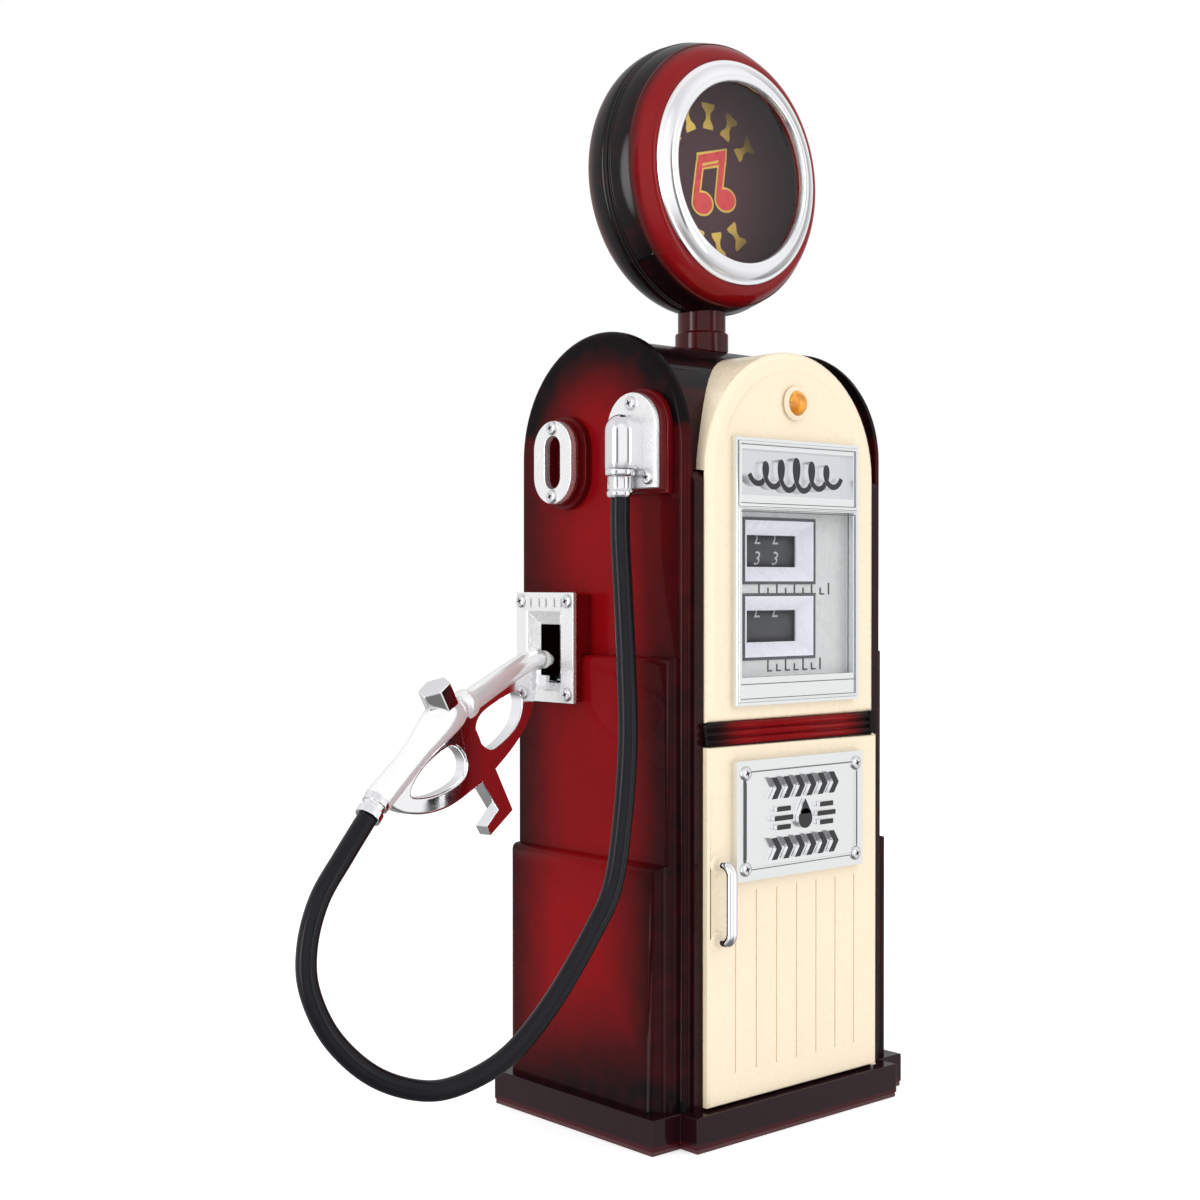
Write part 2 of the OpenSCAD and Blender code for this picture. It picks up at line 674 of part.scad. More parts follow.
// Flat web with the two guard loops and the bent catch below them
module web_2d() {
    difference() {
        union() {
            loop_2d([[7, 153], [5.2, 146], [8.2, 136], [14.3, 128.6], [23, 121.8], [31, 117.5],
                     [39, 120], [43, 129], [44, 139], [34, 143], [20, 149.5]]);
            loop_2d([[76, 113.4], [71.4, 110], [63.6, 108.4], [55.7, 108.3], [47.6, 109.7], [39, 113],
                     [31, 117.5], [33, 128], [40, 137], [50, 136], [61, 126.5], [70, 120]]);
        }
        loop_2d([[36.3, 133], [33.6, 137.8], [24, 142], [15.8, 144], [12.8, 141], [14.6, 134.6],
                 [20, 129.6], [28, 126.1], [33.6, 128.4]]);
        loop_2d([[66.8, 115], [62, 121.6], [54, 126.4], [46.8, 128.3], [41.6, 124], [42.2, 118.6],
                 [49, 115.2], [59, 113.6]]);
    }
    polygon([for (p = [[34.5, 118], [32.8, 114.9], [25.3, 106.1], [31.1, 101.2], [29, 98.2], [17.7, 105.3],
                       [26.4, 119.5]]) [-p[0], p[1]]]);
}

module nozzle_body() color(chrome) nozzle_place() {
    difference() {
        along_y(-web_t / 2, web_t / 2) web_2d();
        bar(grip_to, ferrule_to, grip_r);
    }
    bar(spout_from, spout_bend, spout_r);
    bar(spout_bend, spout_to, spout_r);
    bar(spout_to, grip_from, spout_r + 0.8);
    for (p = [[spout_bend, spout_r + 0.15], [spout_to, spout_r + 1.1], [grip_from, 5.4], [bulge_at, bulge_r]])
        translate([-p[0][0], 0, p[0][1]]) sphere(r = p[1]);
    bar(grip_from, grip_to, grip_r);
}

web_t = 5;

// Pearl-coloured tip that enters the slot: a collar and a narrower nose
module nozzle_tip() color([0.93, 0.93, 0.88]) nozzle_place() difference() {
    union() {
        rod([0, 0, spout_from[1]], [2.6, 0, spout_from[1] - 0.2], 3);
        rod([0, 0, spout_from[1]], [5.4, 0, spout_from[1] - 0.2], 2);
    }
    bar(spout_from, spout_bend, spout_r);
}

nut_from = [49.6, 140.5];
nut_to = [54, 147.4];

module nozzle_cap_nut() color(chrome) nozzle_place() difference() {
    translate([-nut_from[0], 0, nut_from[1]])
        rotate([0, -atan2(nut_to[0] - nut_from[0], nut_to[1] - nut_from[1]), 0]) {
            cylinder(h = norm(nut_to - nut_from), r = 5.6, $fn = 6);
        }
    translate([-grip_from[0], 0, grip_from[1]]) sphere(r = 5.4);
    translate([-bulge_at[0], 0, bulge_at[1]]) sphere(r = bulge_r);
    bar(grip_from, grip_to, grip_r);
}

module nozzle_ferrule() color(chrome) nozzle_place() difference() {
    d = ferrule_to - grip_to;
    union() {
        bar(grip_to - d * 0.12, grip_to + d * 0.35, 4.3);
        bar(grip_to + d * 0.35, grip_to + d * 0.6, 3.6);
        bar(grip_to + d * 0.6, ferrule_to, 4.2);
    }
    bar(grip_from, grip_to, grip_r);
}

// ---- hose: a tube swept along its route ----

hose_sides = 10;
hose_flat = [0.35, 0.94, 0];    // a direction that the route never follows
hose_points = concat(
    [for (i = [0 : len(hose_route) - 2], t = [0, 0.5]) spline_point(hose_route, i, t)],
    [hose_route[len(hose_route) - 1]]);

function tangent(p, i) = i == 0 ? [0, 0, -1] : unit(p[min(i + 1, len(p) - 1)] - p[i - 1]);
function ring(p, i) =
    let (t = tangent(p, i), u = unit(cross(t, hose_flat)), v = cross(t, u))
    [for (k = [0 : hose_sides - 1]) let (a = 360 * k / hose_sides)
        p[i] + hose_d / 2 * (cos(a) * u + sin(a) * v)];

module hose() color([0.03, 0.03, 0.035]) {
    n = len(hose_points);
    points = [for (i = [0 : n - 1]) each ring(hose_points, i)];
    sides = [for (i = [0 : n - 2], k = [0 : hose_sides - 1]) let (m = (k + 1) % hose_sides)
        each [[i * hose_sides + k, (i + 1) * hose_sides + m, i * hose_sides + m],
              [i * hose_sides + k, (i + 1) * hose_sides + k, (i + 1) * hose_sides + m]]];
    first = [for (k = [0 : hose_sides - 1]) k];
    last = [for (k = [hose_sides - 1 : -1 : 0]) (n - 1) * hose_sides + k];
    polyhedron(points, concat([first], sides, [last]));
}

// ---- globe: a round case on a neck, facing the front ----

globe_front = -17.3;        // where the front rim sits
globe_seam = -2.8;
globe_back = 13;
globe_widest = 0.8;
rim_r = 38.2;
lens_r = 32;
dial_r = 44;
dial_t = 1;
neck_r = 8.35;

// Half outline of the case, swollen from the front rim to the widest ring and back
function case_outline(grow) = concat(
    [for (a = [0 : 6 : 90]) [rim_r + (globe_r - rim_r) * sin(a) - grow, globe_widest + (globe_front - globe_widest) * cos(a)]],
    [for (a = [6 : 6 : 90]) [rim_r + (globe_r - rim_r) * cos(a) - grow, globe_widest + (globe_back - globe_widest) * sin(a)]]);

module on_globe() translate([0, 0, globe_z]) rotate([-90, 0, 0]) children();

// The case as a ring of the given wall, open in front and closed behind
module case_shell() on_globe() difference() {
    rotate_extrude() polygon(concat([[0, globe_front]], case_outline(0), [[0, globe_back]]));
    translate([0, 0, globe_front + wall]) cylinder(h = globe_back - globe_front - 2 * wall, r = 36);
    rotate_extrude() intersection() {
        polygon(concat([[0, globe_front]], case_outline(wall), [[0, globe_back]]));
        translate([0, globe_front + wall]) square([60, globe_back - globe_front - 2 * wall]);
    }
    translate([0, 0, globe_front - 1]) cylinder(h = 10, r = lens_r);
}

module neck_hole() translate([0, 0, 255]) cylinder(h = 24, r = neck_r);

module globe_front_shell() color(candy_red) difference() {
    case_shell();
    slab_box([-60, globe_seam, 200], [60, 60, 400]);
    neck_hole();
}

// The ledge inside it carries the dial
module globe_rear_shell() color(candy_red) difference() {
    union() {
        difference() {
            case_shell();
            slab_box([-60, -60, 200], [60, globe_seam, 400]);
        }
        on_globe() translate([0, 0, globe_seam + dial_t]) linear_extrude(1.5) difference() {
            circle(globe_r - wall + 0.6);
            circle(dial_r - 2);
        }
    }
    neck_hole();
    for (p = globe_screw_at) translate([p.x, 0, p.y]) rotate([-90, 0, 0]) cylinder(h = 30, r = 1.1);
}

// Bright bezel: a flat flange and a sloping band
module globe_ring() color(chrome) on_globe() rotate_extrude() polygon([
    [lens_r, globe_front], [rim_r, globe_front], [rim_r, globe_front - 0.9], [36.6, globe_front - 1.1],
    [33.6, globe_front - 3], [31.6, globe_front - 3.2], [30.6, globe_front - 2.6],
    [30.6, globe_front - 0.6], [lens_r, globe_front - 0.6]
]);

module globe_lens() color([0.8, 0.9, 0.95, 0.3]) on_globe()
    translate([0, 0, globe_front - 0.6]) cylinder(h = 0.6, r = lens_r);

// Dial clamped where the two shells meet, well behind the lens
module globe_dial() color([0.2, 0.1, 0.1]) on_globe()
    translate([0, 0, globe_seam]) cylinder(h = dial_t, r = dial_r);

module neck() color(candy_red) difference() {
    union() {
        translate([0, 0, 255]) cylinder(h = 12, r = 9.3);
        translate([0, 0, 255]) cylinder(h = 21, r = neck_r);
    }
    translate([-60, 0, arch_z]) rotate([0, 90, 0]) cylinder(h = 120, r = core_r);
    translate([0, 0, 250]) cylinder(h = 40, r = 4);
}

// ---- works ----

drum_x = [-22, 8];
bracket_x = [-26, 21];      // inner faces of the two bearing plates
bearing_t = 2;

module shaft_on_x(y, z, x0, x1, r = shaft_r) translate([x0, y, z]) rotate([0, 90, 0])
    cylinder(h = x1 - x0, r = r);

// Number drum on its shaft, with its gear
module number_drum(z, turn) {
    color(ink) translate([drum_x[0], drum_y, z]) rotate([0, 90, 0])
        cylinder(h = drum_x[1] - drum_x[0], r = drum_r);
    color(steel) shaft_on_x(drum_y, z, bracket_x[0] - bearing_t, bracket_x[1] + bearing_t);
    color(brass) gear_on_x(drum_y, z, small_teeth, gear_m, gear_x, gear_t, turn);
}

module sale_drum() number_drum(sale_z, meshed(180 - mesh_angle, small_teeth));
module gallons_drum() number_drum(gallons_z, meshed(180 + mesh_angle, small_teeth));

module idler_gear() {
    color(brass) gear_on_x(idler_y, works_z, idler_teeth, gear_m, gear_x, gear_t);
    color(steel) shaft_on_x(idler_y, works_z, bracket_x[0] - bearing_t, bracket_x[1] + bearing_t);
}

module drum_bracket() color(steel) difference() {
    for (s = [0, 1]) {
        x = s == 0 ? bracket_x[0] - bearing_t : bracket_x[1];
        foot = s == 0 ? [-36, x + bearing_t] : [x, 36];
        slab_box([x, -36.3, 155], [x + bearing_t, idler_y + 5, 201]);
        slab_box([foot[0], -36.3, 155], [foot[1], -34.3, 201]);
    }
    for (p = [[drum_y, sale_z], [drum_y, gallons_z], [idler_y, works_z]])
        shaft_on_x(p[0], p[1], -40, 40, shaft_r + running);
}

pinion_teeth = 12;
crown_teeth = 36;
crown_r = 13;
pinion_m = 2 * crown_r / crown_teeth;
crown_y = cylinder_y + pinion_teeth * pinion_m / 2 - 0.45;   // tips of the crown teeth
brake_m = 0.6;
brake_teeth = [32, 8];
brake_z = works_z - brake_m * (brake_teeth[0] + brake_teeth[1]) / 2;
brake_x = -22;
cheek_x = [-28, 20];        // movement's two bearing cheeks
bed_y = [33.5, 35.5];
arbor_r = 2;
comb_z = [184.4, 202];

module spring_barrel() color(brass) translate([0, 0, works_z]) rotate([-90, 0, 0]) {
    translate([0, 0, crown_y + 3]) cylinder(h = 31.5 - crown_y - 3, r = 12.6);
    difference() {
        translate([0, 0, crown_y + 1.5]) cylinder(h = 2.6, r = crown_r + 1.2);
        translate([0, 0, crown_y]) cylinder(h = 3, r = crown_r - 1);
    }
    for (i = [0 : crown_teeth - 1]) rotate(i * 360 / crown_teeth)
        translate([crown_r - 1, -0.5, crown_y]) cube([2.2, 1, 2]);
    translate([0, 0, 30]) cylinder(h = 16, r = arbor_r);
}

module music_cylinder() {
    color(brass) {
        shaft_on_x(cylinder_y, works_z, -9, 9.5, 5.5);
        gear_on_x(cylinder_y, works_z, pinion_teeth, pinion_m, -crown_r, 2.4, 15);
        gear_on_x(cylinder_y, works_z, small_teeth, gear_m, gear_x, gear_t, meshed(0, small_teeth));
        gear_on_x(cylinder_y, works_z, brake_teeth[0], brake_m, brake_x, 1.6, 270);
        // melody pins
        for (i = [0 : 17], k = [0 : 3]) rotate_about_cylinder(i * 47 + k * 90)
            translate([-8 + i * 0.98, cylinder_y + 5.3, works_z]) rotate([-90, 0, 0])
                cylinder(h = 0.6, r = 0.2, $fn = 16);
    }
    color(steel) shaft_on_x(cylinder_y, works_z, cheek_x[0], cheek_x[1] + bearing_t);
}

module rotate_about_cylinder(a) translate([0, cylinder_y, works_z]) rotate([a, 0, 0])
    translate([0, -cylinder_y, -works_z]) children();

module music_comb() color(steel) difference() {
    slab_box([-9.3, cylinder_y - 0.5, comb_z[0]], [9.3, cylinder_y + 0.5, comb_z[1]]);
    for (i = [1 : 17]) translate([-9.3 + i * 18.6 / 18 - 0.15, cylinder_y - 1, comb_z[0] - 1])
        cube([0.3, 2, 11]);
}

// Governor: a two-blade fan turned by the cylinder's wheel
module air_brake() {
    color(brass) gear_on_x(cylinder_y, brake_z, brake_teeth[1], brake_m, brake_x, 2.4, 90 + 22.5);
    color(steel) {
        shaft_on_x(cylinder_y, brake_z, cheek_x[0], cheek_x[1] + bearing_t, 0.8);
        slab_box([-17, cylinder_y - 3.4, brake_z - 0.3], [-6, cylinder_y + 3.4, brake_z + 0.3]);
    }
}

module movement_frame() color(brass) difference() {
    union() {
        slab_box([-32, bed_y[0], 158], [32, bed_y[1], 206]);
        for (s = [-1, 1]) slab_box([s * 30.2 - 1.8, bed_y[1] - tiny, 158], [s * 30.2 + 1.8, core_r - wall, 206]);
        for (x = cheek_x) slab_box([x, cylinder_y - 6, 160], [x + bearing_t, bed_y[0] + tiny, 188]);
        for (s = [-1, 1]) slab_box([s * 7.5 - 1.5, cylinder_y + 0.5, 196], [s * 7.5 + 1.5, bed_y[0] + tiny, 201]);
    }
    shaft_on_x(cylinder_y, works_z, -40, 40, shaft_r + running);
    shaft_on_x(cylinder_y, brake_z, -40, 40, 0.8 + running);
    translate([0, 20, works_z]) rotate([-90, 0, 0]) cylinder(h = 30, r = arbor_r + running);
}

// Butterfly key on the arbor's end, behind the rear cover
module winding_key() color(chrome) translate([0, 0, works_z]) rotate([-90, 0, 0]) {
    difference() {
        union() {
            translate([0, 0, 40.6]) cylinder(h = 8, r = 3.4);
            translate([-12, -1.2, 46]) cube([24, 2.4, 12]);
        }
        translate([0, 0, 40]) cylinder(h = 6, r = arbor_r);
        for (s = [-1, 1]) translate([s * 7, 0, 52]) rotate([90, 0, 0]) cylinder(h = 10, r = 3, center = true);
    }
}

plinth();
base_plate();
case_screws();
left_side_panel();
right_side_panel();
cabinet_core();
rear_cover();
upper_front_panel();
belt_moulding();
window_frame();
window_glass();
header_plate();
header_relief();
dial_plate();
sale_bezel();
gallons_bezel();
lamp_boss();
lamp_lens();
compartment_liner();
door();
door_hinge_pins();
door_handle();
sign_plate();
sign_relief();
sign_screws();
slot_boss();
slot_plate();
elbow_boss();
elbow_plate();
hose_elbow();
switch_housing();
switch_plate();
side_screws();
hook_lever();
hook_pin();
nozzle_body();
nozzle_tip();
nozzle_cap_nut();
nozzle_ferrule();
hose();
neck();
globe_front_shell();
globe_rear_shell();
globe_ring();
globe_lens();
globe_dial();
sale_drum();
gallons_drum();
idler_gear();
drum_bracket();
movement_frame();
spring_barrel();
music_cylinder();
music_comb();
air_brake();
winding_key();
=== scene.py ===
"""Looks of the desk-top gas pump: finer meshes, materials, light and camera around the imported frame."""
import json
import math

import bmesh
import bpy
from mathutils import Matrix, Vector


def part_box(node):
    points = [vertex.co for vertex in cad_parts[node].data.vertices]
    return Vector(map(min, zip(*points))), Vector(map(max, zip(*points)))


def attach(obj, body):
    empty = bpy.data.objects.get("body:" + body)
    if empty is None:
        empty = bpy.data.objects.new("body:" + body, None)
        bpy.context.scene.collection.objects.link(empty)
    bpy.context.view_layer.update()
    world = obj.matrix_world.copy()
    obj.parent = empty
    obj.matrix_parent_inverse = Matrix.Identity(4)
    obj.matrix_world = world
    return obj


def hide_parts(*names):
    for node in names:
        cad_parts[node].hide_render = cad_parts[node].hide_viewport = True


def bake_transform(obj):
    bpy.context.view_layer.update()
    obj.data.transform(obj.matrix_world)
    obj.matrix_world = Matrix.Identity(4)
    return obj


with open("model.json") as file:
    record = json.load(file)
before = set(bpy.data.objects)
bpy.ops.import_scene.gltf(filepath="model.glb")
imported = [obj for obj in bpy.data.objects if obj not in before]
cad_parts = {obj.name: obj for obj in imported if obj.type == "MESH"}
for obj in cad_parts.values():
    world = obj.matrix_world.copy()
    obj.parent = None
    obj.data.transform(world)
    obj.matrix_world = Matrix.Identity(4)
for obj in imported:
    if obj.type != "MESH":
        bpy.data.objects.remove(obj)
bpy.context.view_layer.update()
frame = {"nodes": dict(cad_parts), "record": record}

MM = 0.001
BODY_OF = {n: b for b, nodes in frame["record"]["behaviour"]["bodies"].items() for n in nodes}
SLOT_OF = {row["node"]: row["material_slot"] for row in frame["record"]["subparts"]}
PAINTS = {}      # materials by name


def add_object(name, data):
    """New object in the scene."""
    made = bpy.data.objects.new(name, data)
    bpy.context.scene.collection.objects.link(made)
    return made


# ---- camera ----

def add_camera():
    """The camera that took the picture: low on the left, its axis almost level."""
    data = bpy.data.cameras.new("camera")
    data.lens = 53.73
    data.sensor_width = 36
    camera = add_object("camera", data)
    yaw, pitch = math.radians(41.595), math.radians(0.4995)
    turn = Matrix.Rotation(-yaw, 3, "Z") @ Matrix.Rotation(math.pi / 2 - pitch, 3, "X")
    camera.location = Vector((-444.24, -446.70, 179.38)) * MM
    camera.rotation_euler = turn.to_euler()
    bpy.context.scene.camera = camera


# ---- mesh tools: every size is in millimetres until finished() makes the object ----

def finished(name, mesh, paint, node=None, body=None, slot=None, hides=()):
    """Makes a new piece, which rides on a body and may stand for CAD nodes."""
    piece = add_object(name, mesh)
    mesh.materials.clear()
    mesh.materials.append(PAINTS[paint])
    hidden = list(hides) + ([node] if node else [])
    if hidden:
        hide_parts(*hidden)
    if body != "free":
        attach(piece, body or BODY_OF[node])
    return piece


def mesh_from(name, vertices, faces, smooth_below=40):
    """Mesh from points in millimetres, smooth where its faces meet at less than that angle."""
    work = bmesh.new()
    points = [work.verts.new(Vector(v) * MM) for v in vertices]
    for face in faces:
        work.faces.new([points[i] for i in face])
    bmesh.ops.recalc_face_normals(work, faces=work.faces)
    return shaded(name, work, smooth_below)


def shaded(name, work, smooth_below=40):
    mesh = bpy.data.meshes.new(name)
    work.to_mesh(mesh)
    work.free()
    mesh.polygons.foreach_set("use_smooth", [True] * len(mesh.polygons))
    mesh.set_sharp_from_angle(angle=math.radians(smooth_below))
    return mesh


def circle(sides):
    """Cosine and sine of angles evenly spaced round a circle."""
    angles = [2 * math.pi * k / sides for k in range(sides)]
    return [(math.cos(a), math.sin(a)) for a in angles]


def skin(rings):
    """Faces between neighbouring rings of point numbers. A ring of one point is a tip."""
    faces = []
    for one, two in zip(rings, rings[1:]):
        for k in range(max(len(one), len(two))):
            m = k + 1
            corners = [one[k % len(one)], one[m % len(one)], two[m % len(two)], two[k % len(two)]]
            face = list(dict.fromkeys(corners))
            if len(face) > 2:
                faces.append(face)
    return faces


def spline(points, steps):
    """Smooth route through the points, as the CAD source draws it."""
    p = [Vector(v) for v in points]
    route = []
    for i in range(len(p) - 1):
        a, b, c, d = p[max(i - 1, 0)], p[i], p[i + 1], p[min(i + 2, len(p) - 1)]
        for k in range(steps):
            t = k / steps
            route.append(0.5 * (2 * b + (c - a) * t + (2 * a - 5 * b + 4 * c - d) * t * t
                                + (3 * b - a - 3 * c + d) * t * t * t))
    return route + [p[-1]]


def tube(name, route, radii, sides=24):
    """Closed tube along a route, with a radius for each of its points."""
    count = len(route)
    vertices = []
    along = (route[1] - route[0]).normalized()
    side = along.orthogonal().normalized()
    for i, centre in enumerate(route):
        along = (route[min(i + 1, count - 1)] - route[max(i - 1, 0)]).normalized()
        side = (side - along * side.dot(along)).normalized()
        up = along.cross(side)
        vertices += [centre + radii[i] * (c * side + s * up) for c, s in circle(sides)]
    rings = [list(range(i * sides, (i + 1) * sides)) for i in range(count)]
    faces = skin(rings) + [rings[0], rings[-1]]
    return mesh_from(name, vertices, faces)


def lathe(name, outline, centre, paint, node=None, axis="Y", sides=160, closed=True,
          smooth_below=50, **rest):
    """Piece turned round its axis: outline gives radius and place along it, in millimetres."""
    vertices, rings = [], []
    for radius, along in outline:
        if radius < 1e-6:
            rings.append([len(vertices)])
            vertices.append((0, 0, along))
            continue
        rings.append(list(range(len(vertices), len(vertices) + sides)))
        vertices += [(radius * c, radius * s, along) for c, s in circle(sides)]
    faces = skin(rings + rings[:1] if closed else rings)
    turn = Matrix.Rotation(-math.pi / 2, 3, "X") if axis == "Y" else Matrix.Identity(3)
    placed = [turn @ Vector(v) + Vector(centre) for v in vertices]
    finished(name, mesh_from(name, placed, faces, smooth_below), paint, node, **rest)


def polished(node, paint, width=0.0, where=None, sharp_above=28, segments=2):
    """A copy of a CAD node in place of it, with its sharp edges rounded by width millimetres.

    where(edge's middle in millimetres) chooses the edges to round; all of them without it.
    """
    work = bmesh.new()
    work.from_mesh(frame["nodes"][node].data)
    bmesh.ops.remove_doubles(work, verts=work.verts, dist=0.002 * MM)
    bmesh.ops.dissolve_limit(work, angle_limit=math.radians(0.8), verts=work.verts, edges=work.edges)
    sharp = []
    for edge in work.edges:
        middle = (edge.verts[0].co + edge.verts[1].co) / 2 / MM
        if len(edge.link_faces) == 2 and edge.calc_face_angle() > math.radians(sharp_above):
            if where is None or where(middle):
                sharp.append(edge)
    if width and sharp:
        bmesh.ops.bevel(work, geom=sharp, offset=width * MM, offset_type="OFFSET", segments=segments,
                        profile=0.5, affect="EDGES", clamp_overlap=False)
    mesh = shaded(node + "_finish", work, 32)
    return even_normals(finished(node + "_finish", mesh, paint, node))


def even_normals(piece):
    piece.modifiers.new("even_normals", "WEIGHTED_NORMAL").keep_sharp = True
    return piece


def islands(node):
    """Lowest and highest corner, in millimetres, of every separate solid in a CAD node."""
    work = bmesh.new()
    work.from_mesh(frame["nodes"][node].data)
    bmesh.ops.remove_doubles(work, verts=work.verts, dist=0.002 * MM)
    left = set(work.verts)
    boxes = []
    while left:
        found = {left.pop()}
        edge_of = list(found)
        while edge_of:
            vertex = edge_of.pop()
            for edge in vertex.link_edges:
                other = edge.other_vert(vertex)
                if other not in found:
                    found.add(other)
                    edge_of.append(other)
        left -= found
        points = [v.co / MM for v in found]
        low = Vector(min(p[k] for p in points) for k in range(3))
        high = Vector(max(p[k] for p in points) for k in range(3))
        boxes.append((low, high))
    work.free()
    return sorted(boxes, key=lambda box: tuple(box[0]))


def cad_box(node):
    """Lowest and highest corner of a CAD node, in millimetres."""
    low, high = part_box(node)
    return low / MM, high / MM


# The nozzle's own plane: where it starts above the origin, and its angle from the X axis
NOZZLE_TIP, NOZZLE_YAW = Vector((-58.5, 18, 0)), math.radians(12)


# ---- material tools ----

def add_node(tree, kind, inputs, settings):
    """New shader node with its settings, and its inputs linked to sockets or set to values."""
    made = tree.nodes.new("ShaderNode" + kind)
    for name, value in settings.items():
        setattr(made, name, value)
    for key, value in dict(inputs).items():
        if isinstance(value, bpy.types.NodeSocket):
            tree.links.new(value, made.inputs[key])
        elif value is not None:
            made.inputs[key].default_value = value
    return made


class Paint:
    """Short calls that build the nodes of one material. Object coordinates are in millimetres."""

    def __init__(self, name, colour, roughness=0.3, **constants):
        self.material = PAINTS[name] = bpy.data.materials.new(name)
        self.material.use_nodes = True
        self.tree = self.material.node_tree
        self.shader = self.tree.nodes["Principled BSDF"]
        self.shader.inputs["Base Color"].default_value = (*colour, 1)
        self.shader.inputs["Roughness"].default_value = roughness
        for socket, value in constants.items():
            self.shader.inputs[socket.replace("_", " ")].default_value = value

    def node(self, kind, inputs=(), **settings):
        return add_node(self.tree, kind, inputs, settings)

    def place(self):
        """Object coordinates in millimetres, as a vector."""
        where = self.node("TexCoord").outputs["Object"]
        return self.node("VectorMath", {0: where, 3: 1 / MM}, operation="SCALE").outputs[0]

    def axes(self):
        split = self.node("SeparateXYZ", {0: self.place()})
        return split.outputs[0], split.outputs[1], split.outputs[2]

    def math(self, operation, a, b=None, c=None, clamp=False):
        return self.node("Math", {0: a, 1: b, 2: c}, operation=operation, use_clamp=clamp).outputs[0]

    def fade(self, value, start, end):
        """0 up to start and 1 from end, smooth between."""
        ends = {1: start, 2: end} if start < end else {1: end, 2: start, 3: 1, 4: 0}
        return self.node("MapRange", {0: value, **ends}, interpolation_type="SMOOTHSTEP").outputs[0]

    def noise(self, size, detail=2.0, roughness=0.5):
        """Cloudy noise whose blotches are about size millimetres across."""
        inputs = {"Vector": self.place(), "Scale": 1 / size, "Detail": detail, "Roughness": roughness}
        return self.node("TexNoise", inputs).outputs["Fac"]

    def mix(self, share, one, two):
        """Colours, or sockets of colours, mixed by share."""
        one, two = (c if isinstance(c, bpy.types.NodeSocket) else (*c, 1) for c in (one, two))
        return self.node("Mix", {0: share, 6: one, 7: two}, data_type="RGBA").outputs[2]

    def set(self, socket, value):
        self.tree.links.new(value, self.shader.inputs[socket])

    def bump(self, height, depth):
        """Raises the surface by height times depth millimetres."""
        made = self.node("Bump", {"Height": height, "Strength": 1.0, "Distance": depth * MM})
        self.tree.links.new(made.outputs[0], self.shader.inputs["Normal"])
        if self.shader.inputs["Coat Weight"].default_value:
            self.tree.links.new(made.outputs[0], self.shader.inputs["Coat Normal"])

    def rough(self, low, high, size=6):
        """Roughness that wanders between two values."""
        share = self.fade(self.noise(size, 3), 0.3, 0.7)
        self.set("Roughness", self.node("MapRange", {0: share, 3: low, 4: high}).outputs[0])


RED = (0.21, 0.0025, 0.004)
# Black of the airbrush, also used as painted shade in the nozzle's pocket, at the roof joint and on the
# neck
AIRBRUSH_AND_SHADE_BLACK = (0.004, 0.0025, 0.003)


def candy(name, black_share, coat):
    """Candy red lacquer, airbrushed to black where the share function says; in places that black is
    painted shade.
    """
    paint = Paint(name, RED, 0.3, Coat_Weight=coat, Coat_Roughness=0.02, Specular_IOR_Level=0.02)
    cloud = paint.fade(paint.noise(22, 3), 0.25, 0.75)
    deep = paint.mix(paint.math("MULTIPLY", cloud, 0.35), RED, (0.13, 0.002, 0.004))
    share = black_share(paint)
    mottled = paint.math("MULTIPLY_ADD", paint.math("SUBTRACT", paint.noise(7, 4), 0.5), 0.22, share)
    used = paint.math("MULTIPLY", mottled, paint.fade(share, 0.0, 0.15), clamp=True)
    paint.set("Base Color", paint.mix(used, deep, AIRBRUSH_AND_SHADE_BLACK))
    paint.rough(0.25, 0.35)
    paint.bump(paint.noise(9, 2), 0.012)


def pocket_soot(paint):
    """Black painted inside the pocket behind the nozzle's slot, on the hose side: painted shade of the
    recess.
    """
    x, y, z = paint.axes()
    middle_y, middle_z, half_y, half_z = 18.2, 154.5, 7.0, 13.5
    across = paint.fade(paint.math("ABSOLUTE", paint.math("SUBTRACT", y, middle_y)), half_y, half_y - 0.4)
    high = paint.fade(paint.math("ABSOLUTE", paint.math("SUBTRACT", z, middle_z)), half_z, half_z - 0.5)
    return paint.math("MULTIPLY", paint.fade(x, 0, -5), paint.math("MULTIPLY", across, high))


def housing_soot(paint):
    # An even share of black airbrush, with painted shade in the nozzle's pocket.
    return paint.math("MAXIMUM", pocket_soot(paint), 0.3)


def panel_soot(paint):
    """Black at the arch's rim, along the rear edge and down by the plinth; in the nozzle's pocket the
    black is painted shade.
    """
    _, y, z = paint.axes()
    low, high = cad_box("left_side_panel")
    radius = (high.y - low.y) / 2
    up = paint.math("MAXIMUM", paint.math("SUBTRACT", z, high.z - radius), 0)
    squares = paint.math("ADD", paint.math("MULTIPLY", y, y), paint.math("MULTIPLY", up, up))
    reach = paint.math("SQRT", squares)
    crown = paint.math("MULTIPLY", paint.fade(reach, radius - 32, radius - 3), paint.fade(up, -2, 10))
    upright = paint.fade(paint.math("ABSOLUTE", y), radius - 35, radius - 1)
    darker_below = paint.math("MULTIPLY_ADD", paint.fade(z, 195, 130), 0.12, 0.82)
    upright = paint.math("MULTIPLY", upright, darker_below)
    slanted = paint.math("MULTIPLY_ADD", paint.math("ADD", y, 38), 0.2, z)
    foot = paint.math("MULTIPLY", paint.fade(slanted, 66, 18), 0.97)
    edges = paint.math("MAXIMUM", crown, upright)
    return paint.math("MAXIMUM", paint.math("MAXIMUM", edges, foot), pocket_soot(paint))


def core_soot(paint):
    """Black at the front frame, and black where the roof meets the cream cap, which is painted shade in
    that joint.
    """
    _, y, z = paint.axes()
    front = paint.math("MULTIPLY_ADD", paint.fade(y, -22, -38), 0.5, 0.44)
    # painted shade where the roof meets the cream cap
    cap = paint.math("MULTIPLY", paint.fade(y, 2, -14), paint.fade(z, 228, 246))
    return paint.math("MAXIMUM", front, cap)


